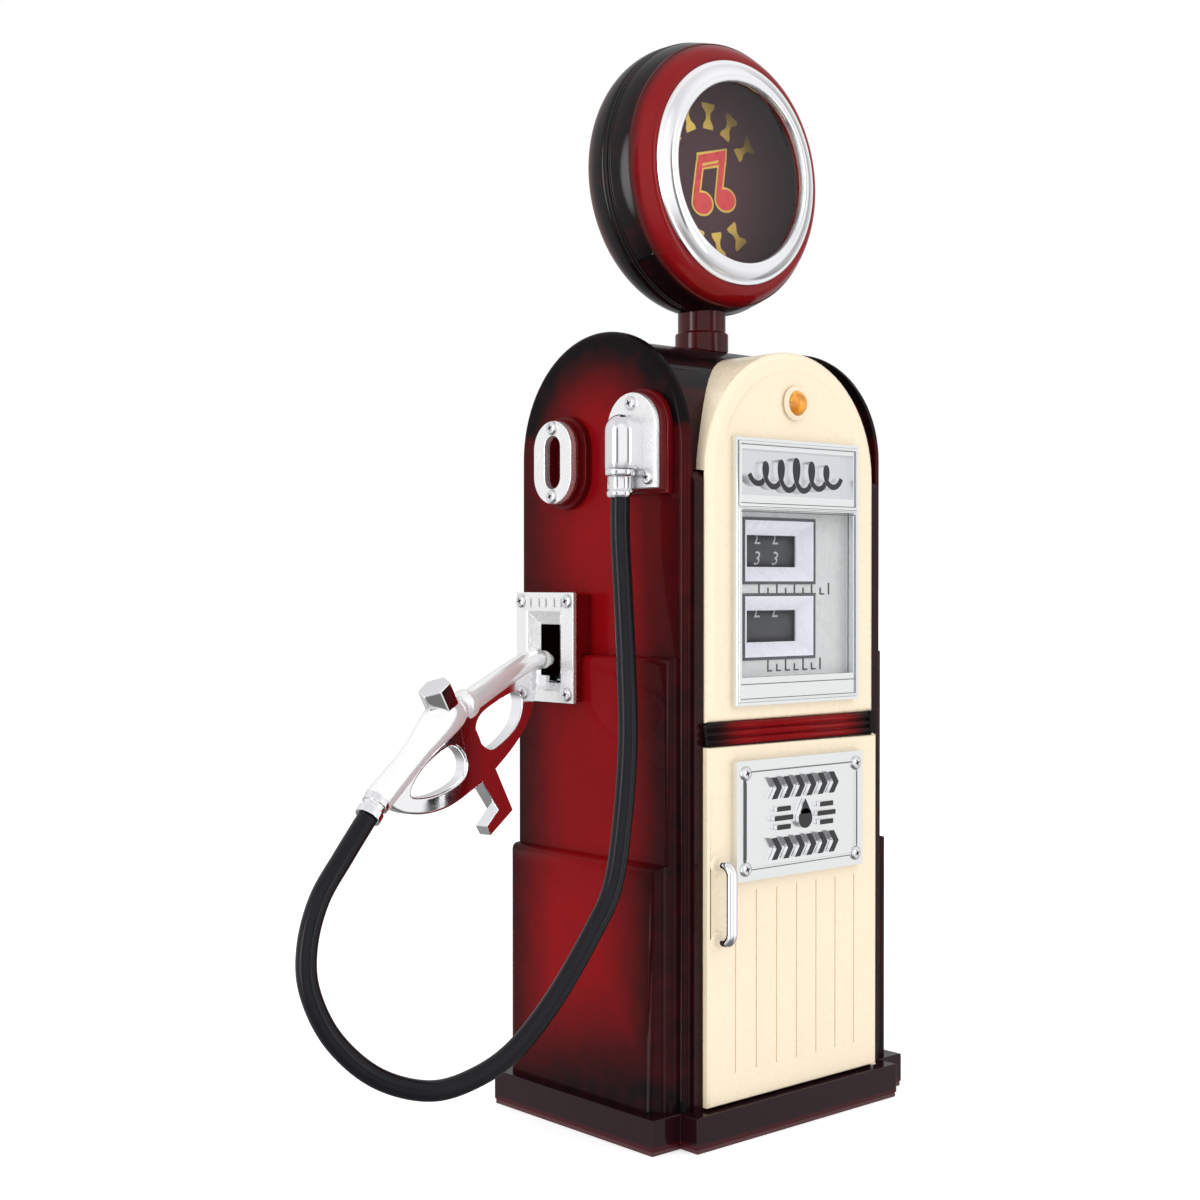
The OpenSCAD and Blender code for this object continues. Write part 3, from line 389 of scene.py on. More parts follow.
def globe_soot(paint):
    """Red swell in front, black round the seam, dark red again behind it."""
    _, y, _ = paint.axes()
    seam = cad_box("globe_front_shell")[1].y
    behind = paint.math("MULTIPLY", paint.fade(y, seam + 15, seam + 6), 0.5)
    return paint.math("MULTIPLY", paint.fade(y, seam - 12.5, seam - 7.0),
                      paint.math("ADD", behind, 0.5))


def light_soot(share):
    """An even share of black, for small parts."""
    return lambda paint: paint.math("ADD", paint.math("MULTIPLY", paint.noise(12), 0.1), share)


def belt_soot(paint):
    x, _, _ = paint.axes()
    return paint.fade(paint.math("ABSOLUTE", x), 22, 38)


def piano_black():
    black, dark_red = (0.014, 0.003, 0.005), (0.06, 0.003, 0.007)
    paint = Paint("piano_black", black, 0.3, Coat_Weight=0.28, Coat_Roughness=0.02,
                  Specular_IOR_Level=0.05)
    _, _, z = paint.axes()
    low, _ = cad_box("plinth")
    edge = paint.math("MULTIPLY", paint.fade(z, low.z + 2.2, low.z + 0.2), 0.8)
    paint.set("Base Color", paint.mix(edge, black, dark_red))
    paint.rough(0.12, 0.22)
    paint.bump(paint.noise(10, 2), 0.012)


def enamel(name, colour, spread=0.06):
    """Moulded cream plastic with a soft gloss and a slight cloud in its colour."""
    paint = Paint(name, colour, 0.28, Coat_Weight=0.35, Coat_Roughness=0.08, Subsurface_Weight=0.0)
    darker = tuple(c * (1 - spread) for c in colour)
    paint.set("Base Color", paint.mix(paint.fade(paint.noise(18, 3), 0.3, 0.7), colour, darker))
    paint.rough(0.24, 0.34)
    paint.bump(paint.noise(9, 1), 0.004)


def plated(name, colour, low, high, grain=0.0, grain_size=0.5, ripple=0.0, haze=0.0):
    """Bright vacuum plating: grain is a cast stipple and ripple a slow wave, in millimetres.

    A haze is the share of the surface that scatters light as white paint does.
    """
    paint = Paint(name, colour, low, Metallic=1.0 - haze)
    paint.rough(low, high, 4)
    height = None
    if ripple:
        height = paint.math("MULTIPLY", paint.noise(5, 1), ripple)
    if grain:
        fine = paint.math("MULTIPLY", paint.noise(grain_size, 2), grain)
        height = fine if height is None else paint.math("ADD", height, fine)
    if height is not None:
        paint.bump(height, 1.0)


def bowed_web():
    """Plating of the nozzle's flat web, whose far end bows away from the middle plane."""
    paint = Paint("web_chrome", (0.92, 0.92, 0.94), 0.05, Metallic=1.0)
    x, y, _ = paint.axes()
    bow_from, bow_per_square = 30, -0.0015
    along_x = paint.math("MULTIPLY", paint.math("SUBTRACT", NOZZLE_TIP.x, x), math.cos(NOZZLE_YAW))
    from_y = paint.math("SUBTRACT", NOZZLE_TIP.y, y)
    along = paint.math("MULTIPLY_ADD", from_y, math.sin(NOZZLE_YAW), along_x)
    past = paint.math("MAXIMUM", paint.math("SUBTRACT", along, bow_from), 0)
    bow = paint.math("MULTIPLY", paint.math("MULTIPLY", past, past), bow_per_square)
    ripple = paint.math("MULTIPLY", paint.noise(5, 1), 0.012)
    paint.bump(paint.math("ADD", bow, ripple), 1.0)
    paint.rough(0.05, 0.14, 4)


def gloss(name, colour, low=0.15, high=0.3, depth=0.01, size=3.0, shine=0.5):
    """Plain plastic. A shine of 0.5 reflects as much as plastic does, and less is duller."""
    paint = Paint(name, colour, low, Specular_IOR_Level=shine)
    lighter = tuple(min(1, c * 1.35 + 0.002) for c in colour)
    paint.set("Base Color", paint.mix(paint.noise(size, 3), colour, lighter))
    paint.rough(low, high, size)
    paint.bump(paint.noise(size * 0.6, 2), depth)


def pane():
    """Clear plastic. Lamps shine through it, so that what lies behind is lit."""
    paint = Paint("clear_pane", (0.97, 0.98, 0.99), 0.02, Transmission_Weight=1.0, IOR=1.25)
    output = paint.tree.nodes["Material Output"]
    clear = paint.node("BsdfTransparent", {0: (0.95, 0.96, 0.97, 1)})
    either = paint.node("MixShader", {0: paint.node("LightPath").outputs["Is Shadow Ray"],
                                      1: paint.shader.outputs[0], 2: clear.outputs[0]})
    paint.tree.links.new(either.outputs[0], output.inputs["Surface"])


def jewel():
    paint = Paint("amber", (0.76, 0.33, 0.018), 0.05, Coat_Weight=0.4, Coat_Roughness=0.02,
                  Subsurface_Weight=0.35, Subsurface_Scale=0.003)
    paint.shader.inputs["Subsurface Radius"].default_value = (1.0, 0.4, 0.05)
    swirl = paint.fade(paint.noise(2.6, 2), 0.35, 0.65)
    paint.set("Base Color", paint.mix(swirl, (0.76, 0.33, 0.018), (0.50, 0.16, 0.01)))


def mix_paints():
    """Every material."""
    candy("candy_panel", panel_soot, 0.10)
    candy("candy_core", core_soot, 0.3)
    candy("candy_globe", globe_soot, 0.43)
    candy("candy_belt", belt_soot, 0.2)
    candy("candy_small", light_soot(0.5), 0.3)
    candy("candy_housing", housing_soot, 0.15)
    # The neck's larger share of black is partly airbrush and partly painted shade under the globe.
    candy("candy_neck", light_soot(0.7), 0.45)
    piano_black()
    gloss("base_red", (0.05, 0.003, 0.006), 0.3, 0.45)
    enamel("cream", (0.82, 0.70, 0.52), 0.012)
    enamel("dial_white", (0.62, 0.62, 0.61), 0.03)
    enamel("bezel_white", (0.80, 0.80, 0.86), 0.03)
    gloss("bezel_line", (0.045, 0.045, 0.055), 0.4, 0.6)
    plated("bright_frame", (0.86, 0.87, 0.875), 0.22, 0.26)
    plated("mirror", (0.72, 0.73, 0.76), 0.03, 0.06, ripple=0.004)
    plated("chrome", (0.92, 0.92, 0.94), 0.04, 0.10, 0.004, 0.6, 0.05)
    plated("nozzle_chrome", (0.93, 0.93, 0.94), 0.08, 0.16, 0.004, 0.6, 0.05, 0.5)
    plated("ring_chrome", (0.90, 0.90, 0.92), 0.04, 0.09, ripple=0.03)
    gloss("frame_line", (0.07, 0.075, 0.08), 0.3, 0.5)
    bowed_web()
    plated("chrome_smooth", (0.92, 0.92, 0.94), 0.03, 0.07, ripple=0.015)
    plated("satin_chrome", (0.80, 0.80, 0.82), 0.08, 0.13, ripple=0.02)
    plated("chrome_stipple", (0.87, 0.87, 0.88), 0.22, 0.32, 0.06, 0.4, haze=0.2)
    plated("screw_steel", (0.78, 0.78, 0.80), 0.12, 0.24, 0.01, 0.4)
    plated("works_steel", (0.50, 0.51, 0.53), 0.25, 0.40, 0.01, 0.8)
    plated("works_brass", (0.72, 0.50, 0.20), 0.22, 0.38, 0.01, 0.8)
    gloss("relief_black", (0.008, 0.008, 0.010), 0.08, 0.18)
    gloss("drum_black", (0.020, 0.020, 0.024), 0.45, 0.6)
    gloss("drum_ink", (0.42, 0.42, 0.44), 0.5, 0.6)
    gloss("liner_red", (0.055, 0.006, 0.009), 0.4, 0.6, 0.02)
    gloss("pearl", (0.80, 0.79, 0.72), 0.12, 0.25, 0.03)
    gloss("hose_black", (0.006, 0.006, 0.008), 0.18, 0.28, 0.02, 8, 0.16)
    gloss("globe_face", (0.060, 0.022, 0.028), 0.3, 0.4, 0.01, 3, 0.1)
    plated("gold", (0.80, 0.55, 0.12), 0.35, 0.5, 0.004, 0.4)
    gloss("emblem_red", (0.62, 0.03, 0.035), 0.25, 0.4)
    gloss("label_ink", (0.015, 0.015, 0.02), 0.5, 0.7)
    pane()
    jewel()


# ---- hose ----

# Route of the hose in millimetres, from its outlet to the nozzle
HOSE_ROUTE = [
    (-59.5, -23, 207), (-59.5, -23, 195), (-60, -25, 175), (-61.8, -28.5, 152),
    (-64, -31.5, 130), (-68, -33.5, 106), (-73, -34.5, 86), (-80, -33.5, 73),
    (-92.5, -30, 53.5), (-105, -26, 39), (-117, -21.5, 31.5), (-130, -16.5, 29),
    (-145, -11, 34.5), (-157, -6.5, 46.5), (-163.5, -4, 61), (-164, -3.2, 74),
    (-159.3, -2.4, 87.4), (-150.4, -1.4, 98.7), (-140.6, 0.55, 109.25),
]
HOSE_D = 6.3


def hose():
    """Glossy rubber hose along its route."""
    route = spline(HOSE_ROUTE, 10)
    mesh = tube("hose_rubber", route, [HOSE_D / 2] * len(route), 28)
    piece = finished("hose_rubber", mesh, "hose_black", "hose", "free")
    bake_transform(piece)


# ---- flat shapes on the front: outlines are in the XZ plane, in millimetres ----

def prism(name, outlines, back, front, paint, slot, body="cabinet", overlap=False):
    """Piece of flat shapes that stand from y = back forward to y = front.

    Overlapping shapes differ a hair in height.
    """
    vertices, faces = [], []
    for i, outline in enumerate(outlines):
        face_y = front - 0.004 * i if overlap else front
        start, count = len(vertices), len(outline)
        near, far = list(range(start, start + count)), list(range(start + count, start + 2 * count))
        vertices += [(x, face_y, z) for x, z in outline] + [(x, back, z) for x, z in outline]
        faces += [near, far[::-1]] + skin([near, far])
    finished(name, mesh_from(name, vertices, faces, 30), paint, slot=slot, body=body)


def bar_outline(x0, x1, z0, z1):
    return [(x0, z0), (x1, z0), (x1, z1), (x0, z1)]


def loop_outlines(x0, x1, z0, z1, width):
    """Four bars round a rectangle."""
    return [bar_outline(x0, x1, z1 - width, z1), bar_outline(x0, x1, z0, z0 + width),
            bar_outline(x0, x0 + width, z0 + width, z1 - width),
            bar_outline(x1 - width, x1, z0 + width, z1 - width)]


def oval(x, z, rx, rz, tilt):
    cos, sin = math.cos(tilt), math.sin(tilt)
    return [(x + rx * c * cos - rz * s * sin, z + rx * c * sin + rz * s * cos) for c, s in circle(32)]


# ---- globe ----

GLOBE = Vector((0, 0, 320.3))
GLOBE_FRONT, GLOBE_SEAM, GLOBE_BACK = -17.3, -2.8, 13.0
DIAL_R = 44.0


def globe_outline(start, end, step=5):
    """Outline of the case between two angles: -90 is its front rim, 0 its widest ring, 90 its back."""
    rim, widest_r, widest_y = 38.2, 47.2, 0.8
    points = []
    for k in range(int(start), int(end) + 1, step):
        a = math.radians(k)
        reach = GLOBE_BACK - widest_y if k > 0 else widest_y - GLOBE_FRONT
        points.append((rim + (widest_r - rim) * math.cos(a), widest_y + reach * math.sin(a)))
    return points


def globe():
    """The two shells with the ridges of their seam, the bright ring and the dial with its emblem."""
    seam = GLOBE_SEAM
    front = globe_outline(-90, -20)
    front += [(r, seam - d) for r, d in (
        (46.75, 1.5), (46.85, 1.1), (47.1, 0.9), (47.12, 0.5), (46.9, 0.25), (46.3, 0.1),
        (45.0, 0.1), (45.0, 9), (40.5, 12.3), (32, 12.3), (32, seam - GLOBE_FRONT))]
    lathe("globe_front", front, GLOBE, "candy_globe", "globe_front_shell")
    rear = [(0, GLOBE_BACK), (36, GLOBE_BACK), (37.6, GLOBE_BACK - 0.15)] + globe_outline(10, 80)[::-1]
    rear += [(r, seam + d) for r, d in (
        (47.2, 0.8 - seam), (47.1, 1.9), (46.75, 1.6), (46.8, 1.3), (47.15, 1.0), (47.15, 0.6),
        (46.9, 0.3), (46.3, 0.1), (44.5, 0.1), (44.5, 1.2), (0, 1.2))]
    lathe("globe_rear", rear, GLOBE, "candy_globe", "globe_rear_shell", closed=False)
    ring = [(r, GLOBE_FRONT - d) for r, d in (
        (32, 0), (38.2, 0), (38.2, 0.35), (38.0, 0.75), (37.6, 0.95), (37.15, 0.85), (36.9, 0.9),
        (36.2, 1.55), (35.2, 2.2), (34.2, 2.7), (33.2, 3.0), (32.6, 3.05), (32.3, 2.95),
        (32.0, 3.1), (31.5, 3.2), (31.0, 3.05), (30.65, 2.6), (30.6, 0.7), (32, 0.65))]
    lathe("globe_bezel", ring, GLOBE, "ring_chrome", "globe_ring")
    disc = [(0, seam), (DIAL_R, seam), (DIAL_R, seam + 1), (0, seam + 1)]
    lathe("globe_disc", disc, GLOBE, "globe_face", "globe_dial", sides=96, closed=False, smooth_below=40)
    dial_marks()


def dial_marks():
    """Gold ornaments round the dial, and a pair of joined notes in red with a gold edge."""
    marks = []
    for angle in (37, 63.5, 90, 116.5, 143, -51, -77, -103, -129):
        a = math.radians(angle)
        out = Vector((math.cos(a), math.sin(a)))
        along = Vector((-out.y, out.x))
        shape = [(18, -2.4), (19.4, -2.4), (21.4, -1.1), (23.6, -1.1), (25.6, -3.1), (27, -3.1),
                 (27, 3.1), (25.6, 3.1), (23.6, 1.1), (21.4, 1.1), (19.4, 2.4), (18, 2.4)]
        marks.append([tuple(out * r + along * w + Vector((0, GLOBE.z))) for r, w in shape])
    y = GLOBE_SEAM
    prism("dial_ornaments", marks, y, y - 0.12, "gold", "works_brass")
    prism("dial_notes_edge", note_outlines(0.75), y, y - 0.12, "gold", "works_brass", overlap=True)
    prism("dial_notes", note_outlines(0.0), y - 0.1, y - 0.24, "emblem_red", "candy_red", overlap=True)
    slot = [(-2.9, 325.0), (4.9, 327.3), (4.9, 328.2), (-2.9, 325.9)]
    prism("dial_notes_slot", [slot], y - 0.24, y - 0.34, "gold", "works_brass")


def note_outlines(g):
    """Two joined notes, grown by g on every side."""
    z = GLOBE.z
    beam = [(-5.2 - g, z + 3.4 - g), (8.2 + g, z + 7.2 - g),
            (8.6 + g, z + 12.0 + g), (-4.8 - g, z + 8.2 + g)]
    left = [(-7.4 - g, z - 8), (-4.9 + g, z - 8), (-2.6 + g, z + 6), (-5.2 - g, z + 6)]
    right = [(3.9 - g, z - 5.5), (6.3 + g, z - 5.5), (8.5 + g, z + 10), (5.9 - g, z + 10)]
    heads = [oval(x, z - drop, 4.7 + g, 3.7 + g, 0.1) for x, drop in ((-2.7, 8.2), (8.6, 5.5))]
    return [beam, left, right] + heads


# ---- upper front panel ----

PANEL_HALF, PANEL_FOOT, PANEL_ARCH = 40.8, 135.1, 215.7
PANEL_FACE, PANEL_BACK, HOOD_BACK = -44.0, -42.0, -12.0
OPEN_HALF, OPEN_Z = 28.2, (142, 225)      # opening behind the bright frame


def panel_ring(inset, y_of):
    """Ring of points a given inset from the panel's outline, and the row marks of its sides."""
    half = PANEL_HALF - inset
    inner = PANEL_HALF - 7.6
    foot = PANEL_FOOT + inset if inset < 3 else PANEL_FOOT + 3 + (inset - 3) * 0.3
    side_z = [foot, 140.5, OPEN_Z[0], 160, 180, 200, PANEL_ARCH]
    first = math.degrees(math.asin((OPEN_Z[1] - PANEL_ARCH) / inner))
    angles = [first / 3, first * 2 / 3, first] + [first + (90 - first) * k / 14 for k in range(1, 15)]
    right = [(half, z) for z in side_z]
    for a in map(math.radians, angles):
        right.append((half * math.cos(a), PANEL_ARCH + half * math.sin(a)))
    left = [(-x, z) for x, z in reversed(right[:-1])]
    return [(x, y_of(z), z) for x, z in right + left]


def upper_panel():
    """Cream panel with soft edges, a hood over the vault and a shallow field inside a raised arch."""
    def field(z):
        share = min(max((z - 225.5) / 4, 0), 1)
        return PANEL_FACE + 0.55 * share * share * (3 - 2 * share)

    def back(z):
        return HOOD_BACK if z > PANEL_ARCH + 0.1 else PANEL_BACK

    def level(y):
        return lambda z: y

    soft, soft_depth = 3.0, 1.86
    rings = [panel_ring(0, y_of) for y_of in (back, level(PANEL_BACK), level(PANEL_FACE + soft_depth))]
    for c, s in circle(24)[1:7]:
        rings.append(panel_ring(soft * (1 - c), level(PANEL_FACE + soft_depth * (1 - s))))
    for inset, share in ((5.2, 0), (5.6, 0.04), (6.0, 0.25), (6.4, 0.6), (6.8, 0.9), (7.2, 1), (7.6, 1)):
        rings.append(panel_ring(inset, lambda z, s=share: PANEL_FACE + (field(z) - PANEL_FACE) * s))
    count = len(rings[0])
    vertices = [p for ring in rings for p in ring]
    faces = skin([list(range(r * count, (r + 1) * count)) for r in range(len(rings))])
    last = (len(rings) - 1) * count
    top = count // 2
    hole = range(len(vertices), len(vertices) + 4)
    vertices += [(x, PANEL_FACE, z) for z in OPEN_Z for x in (-OPEN_HALF, OPEN_HALF)]
    for k in range(top):
        one, two = last + k, last + count - 1 - k
        z = (vertices[one][2] + vertices[one + 1][2]) / 2
        if OPEN_Z[0] < z < OPEN_Z[1]:
            continue
        if k == top - 1:
            faces.append([one, one + 1, two])
        else:
            faces.append([one, one + 1, two - 1, two])
    low, high = (next(k for k in range(top) if abs(vertices[last + k][2] - z) < 0.01) for z in OPEN_Z)
    right_side = [last + k for k in range(low, high + 1)]
    left_side = [last + count - 1 - k for k in range(low, high + 1)]
    faces.append(right_side + [hole[3], hole[1]])
    faces.append(left_side + [hole[2], hole[0]])
    mesh = mesh_from("upper_panel", vertices, faces, 40)
    finished("upper_panel", mesh, "cream", "upper_front_panel")


# ---- cabinet ----

def cabinet():
    door_low, door_high = cad_box("door")

    def door_rim(p):
        on_front, on_rosette = p.y < -43.5, p.y < -45.2
        at_end = p.z < door_low.z + 0.2 or p.z > door_high.z - 0.2
        return on_rosette or on_front and (abs(p.x) > 41 or at_end)

    for node, paint, *width in (
        ("plinth", "piano_black", 0.5), ("base_plate", "base_red", 0.2),
        ("left_side_panel", "candy_panel"), ("right_side_panel", "candy_panel"),
        ("rear_cover", "candy_core", 0.4),
        ("belt_moulding", "candy_belt"),
        ("slot_boss", "candy_small", 0.35), ("elbow_boss", "candy_small", 0.35),
        ("switch_housing", "candy_housing", 0.3), ("neck", "candy_neck", 0.5),
        ("lamp_boss", "cream"),
        ("window_frame", "bright_frame"), ("sign_plate", "bright_frame"),
        ("slot_plate", "chrome_stipple", 0.4), ("elbow_plate", "chrome_stipple", 0.4),
        ("switch_plate", "chrome_stipple", 0.25), ("hook_lever", "chrome", 0.2),
        ("compartment_liner", "liner_red"), ("door_hinge_pins", "screw_steel"),
        ("door_handle", "chrome_smooth"), ("hook_pin", "screw_steel"),
        ("nozzle_cap_nut", "chrome", 0.45), ("nozzle_ferrule", "chrome_smooth", 0.3),
        ("sale_bezel", "bezel_white"), ("gallons_bezel", "bezel_white"),
        ("header_plate", "mirror"), ("dial_plate", "dial_white"), ("lamp_lens", "amber"),
        ("sale_drum", "drum_black"), ("gallons_drum", "drum_black"),
        ("idler_gear", "works_brass"), ("drum_bracket", "works_steel"),
        ("movement_frame", "works_brass"), ("spring_barrel", "works_brass"),
        ("music_cylinder", "works_brass"), ("music_comb", "works_steel"),
        ("air_brake", "works_steel"), ("winding_key", "chrome_smooth", 0.3),
    ):
        polished(node, paint, *width)
    polished("door", "cream", 0.8, where=door_rim, segments=4)
    polished("cabinet_core", "candy_core", 3.3, segments=6,
             where=lambda p: abs(p.y + 42) < 0.1 and abs(p.z - 215.5) < 0.1)
    for node in ("window_glass", "globe_lens"):
        mesh = frame["nodes"][node].data
        mesh.materials.clear()
        mesh.materials.append(PAINTS["clear_pane"])
    for node, axis in (("side_screws", "-X"), ("sign_screws", "-Y"), ("case_screws", None)):
        screws(node, axis)


def elbow():
    """Domed hose outlet that swells out of its plate, with a collar, a sleeve and a lip below."""
    x, y, r, plate_x, dome_z = -59.1, -23.2, 5.4, -54.9, 228.4
    work = bmesh.new()
    profile = [(r - 0.35, 215.9), (r, 216.3), (r, 220), (r, 224)]
    profile += [(r * c, dome_z + r * s) for c, s in circle(32)[:9]]
    rows = []
    for radius, z in profile:
        points = [Vector((x + radius * c, y + radius * s, z)) * MM for c, s in circle(64)[16:49]]
        rows.append([work.verts.new(point) for point in points])
    for low, high in zip(rows, rows[1:]):
        for k in range(32):
            work.faces.new([low[k], low[k + 1], high[k + 1], high[k]])
    # straight cheeks from the half round back to the plate
    back = [[work.verts.new((plate_x * MM, *row[i].co.yz)) for i in (0, -1)] for row in rows]
    for i, (low, high) in enumerate(zip(rows, rows[1:])):
        for end, side in ((0, 0), (-1, 1)):
            work.faces.new([low[end], high[end], back[i + 1][side], back[i][side]])
    work.faces.new(rows[0] + [back[0][1], back[0][0]])
    bmesh.ops.remove_doubles(work, verts=work.verts, dist=0.001 * MM)
    bmesh.ops.recalc_face_normals(work, faces=work.faces)
    finished("elbow_dome", shaded("elbow_dome", work, 50), "satin_chrome", "hose_elbow")
    sleeve = [(0.5, 216.3), (4.7, 216.3), (4.9, 216.0), (4.9, 214.4), (4.6, 214.0), (3.9, 213.8),
              (3.7, 213.4), (3.65, 210.0), (3.8, 209.5), (4.2, 209.2), (4.4, 208.5), (4.3, 207.6),
              (3.9, 207.1), (3.3, 207.0), (3.2, 207.6), (0.5, 207.8)]
    lathe("elbow_sleeve", sleeve, (-59.5, -23, 0), "satin_chrome", axis="Z", sides=64, smooth_below=40,
          slot="chrome", body="cabinet")


def screws(node, axis):
    """Domed heads over the shanks of a CAD node, each with a flat dark cross painted on it as the shade
    of a crossed recess.
    """
    heads, head_faces, recess_shade_points, recess_shade_faces = [], [], [], []

    def ring(radius, high, sides):
        """Point numbers of a new ring round the screw's axis, or of its middle."""
        around = circle(sides if radius else 1)
        heads.extend(place @ Vector((radius * c, radius * s, high)) for c, s in around)
        return list(range(len(heads) - len(around), len(heads)))

    for low, high in islands(node):
        way = axis or ("-Z" if high.z < 12 else "+Y")
        middle = (low + high) / 2
        k = "XYZ".index(way[1])
        sign = -1 if way[0] == "-" else 1
        across = (k + 1) % 3
        radius = (high[across] - low[across]) / 2
        thick = 0.8 if way == "-Z" else 1.1
        middle[k] = (high[k] if sign > 0 else low[k]) - sign * thick
        turn = Vector((0, 0, 1)).rotation_difference(Vector([sign if i == k else 0 for i in range(3)]))
        place = Matrix.Translation(middle) @ turn.to_matrix().to_4x4()
        rings = [ring(radius * r, thick * h, 24)
                 for r, h in ((1, 0), (1, 0.25), (0.93, 0.6), (0.78, 0.88), (0.6, 1), (0, 1))]
        shank = [ring(1.05, h, 6) for h in (-3.5, 0.1)]
        head_faces += skin(rings) + [rings[0]] + skin(shank) + shank
        # a flat dark cross a hair above the head: painted shade of the recess
        arm, half = radius * 0.58, radius * 0.13
        for spin in (0.35, 0.35 + math.pi / 2):
            cos, sin = math.cos(spin), math.sin(spin)
            points = ((-arm, 0), (-half, -half), (half, -half), (arm, 0), (half, half), (-half, half))
            recess_shade_faces.append(list(range(len(recess_shade_points), len(recess_shade_points) + 6)))
            for u, v in points:
                recess_shade_points.append(place @ Vector((u * cos - v * sin, u * sin + v * cos, thick + 0.03)))
    mesh = mesh_from(node + "_heads", heads, head_faces)
    finished(node + "_heads", mesh, "screw_steel", node)
    mesh = mesh_from(node + "_recess_shade", recess_shade_points, recess_shade_faces)
    finished(node + "_recess_shade", mesh, "label_ink", slot=SLOT_OF[node], body=BODY_OF[node])


# ---- window and sign ----

# Heights of the two number windows, and their middle across
SALE_Z, GALLONS_Z, BEZEL_X = 190.4, 165.5, -5.4


def lines_and_labels():
    """Outlines of the number frames, dark lines painted as shade in the grooves of the bright frame, and
    scales where labels would be.
    """
    face = -41.7
    outlines = []
    for z in (SALE_Z, GALLONS_Z):
        outlines += loop_outlines(BEZEL_X - 17.6, BEZEL_X + 17.6, z - 11, z + 11, 1.0)
    prism("bezel_outline", outlines, face + 0.1, face - 0.35, "bezel_line", "drum_black")
    marks = []
    for z, count in ((177.9, 9), (152.6, 7)):
        for k in range(count):
            x = 2 + (k - (count - 1) / 2) * 4.3
            tall = 4.0 if k % 2 == 0 else 2.4
            marks.append(bar_outline(x - 0.35, x + 0.35, z - 2, z - 2 + tall))
            if k < count - 1:
                marks.append(bar_outline(x + 0.35, x + 2.1, z - 2, z - 1.5))
    prism("dial_scales", marks, face + 0.1, face - 0.08, "label_ink", "drum_black")
    # dark strips at the feet of the frame's ribs: painted shade of its grooves
    frame_face = -45.9
    lines = []
    for z0, z1 in ((204.7, 225.7), (141.3, 204.0)):
        lines += loop_outlines(-29.15, 29.15, z0 - 0.15, z1 + 0.15, 0.3)
        lines += loop_outlines(-28.1, 28.1, z0 + 0.9, z1 - 0.9, 0.25)
    lines.append(bar_outline(-28.0, 28.0, 146.9, 147.2))
    prism("window_groove_shade", lines, frame_face + 0.1, frame_face - 0.06, "frame_line", "bright_frame")
    sign_face = -47.2
    lines = loop_outlines(-27.5, 27.5, 87.1, 119.0, 0.3)
    lines += [bar_outline(-27.4, -26.95, 90.6, 115.6), bar_outline(26.95, 27.4, 90.6, 115.6)]
    prism("sign_lines", lines, sign_face + 0.1, sign_face - 0.55, "frame_line", "bright_frame", "door")


def bright_sides(piece, paint):
    """Keeps a relief's front faces dark and plates the rest."""
    piece.data.materials.append(PAINTS[paint])
    for face in piece.data.polygons:
        face.material_index = 0 if face.normal.y < -0.35 else 1


def sign_relief():
    """The raised ornaments, with dark faces and bright sides."""
    bright_sides(polished("sign_relief", "relief_black", 0.25), "chrome_smooth")


def header_scroll():
    """A chain of loops, tallest in its middle and the same on both sides, on the header plate."""
    turns, steps, reach, middle, half, back = 2.75, 132, 20.5, 215.3, 0.95, -42.9
    right = []
    for k in range(steps + 1):
        share = k / steps
        a = 2 * math.pi * turns * share
        wide, tall = 2.7 - 0.5 * share, 5.2 - 2.4 * share
        face = -44.66 - 0.12 * math.sin(a)          # one strand passes over the other
        right.append((reach * share - wide * math.sin(a), middle + tall * math.cos(a), face))
    left = [(-x, z, -44.66 * 2 - face) for x, z, face in right[:0:-1]]
    route = left + right
    vertices = []
    for i, (x, z, face) in enumerate(route):
        a, b = route[max(i - 1, 0)], route[min(i + 1, len(route) - 1)]
        along = Vector((b[0] - a[0], b[1] - a[1])).normalized()
        out = Vector((-along.y, along.x)) * half
        for s, y in ((1, face), (-1, face), (-1, back), (1, back)):
            vertices.append((x + s * out.x, y, z + s * out.y))
    rings = [list(range(i, i + 4)) for i in range(0, len(vertices), 4)]
    mesh = mesh_from("header_scroll", vertices, skin(rings) + [rings[0], rings[-1]])
    bright_sides(finished("header_scroll", mesh, "relief_black", "header_relief"), "nozzle_chrome")


def switch_marks():
    """Small raised bars across the top of the switch plate."""
    work = bmesh.new()
    for k in range(5):
        size = Vector((0.35, 3.0 if k % 2 else 2.2, 3.0))
        middle = Vector((-57.375, 18 + (k - 2) * 4.0, 173.1))
        for vertex in bmesh.ops.create_cube(work, size=1.0)["verts"]:
            vertex.co = (middle + vertex.co * size) * MM
    mesh = shaded("switch_marks", work)
    finished("switch_marks", mesh, "chrome_stipple", slot="chrome", body="cabinet")


# ---- number drums ----

DRUM_R, DRUM_Y, DIGIT_HIGH = 11.2, -25.6, 4.6


def digit_mesh(digit):
    """Flat outline of a digit, centred, 1 high."""
    curve = bpy.data.curves.new("digit", "FONT")
    curve.body = str(digit)
    curve.align_x = "CENTER"
    curve.align_y = "CENTER"
    curve.resolution_u = 3
    maker = add_object("digit", curve)
    flat = maker.to_mesh()
    points = [tuple(v.co) for v in flat.vertices]
    faces = [list(f.vertices) for f in flat.polygons]
    maker.to_mesh_clear()
    bpy.data.objects.remove(maker)
    low = min(p[1] for p in points)
    high = max(p[1] for p in points)
    middle = (min(p[0] for p in points) + max(p[0] for p in points)) / 2
    tall = high - low
    return [((x - middle) / tall, (y - (low + high) / 2) / tall) for x, y, _ in points], faces


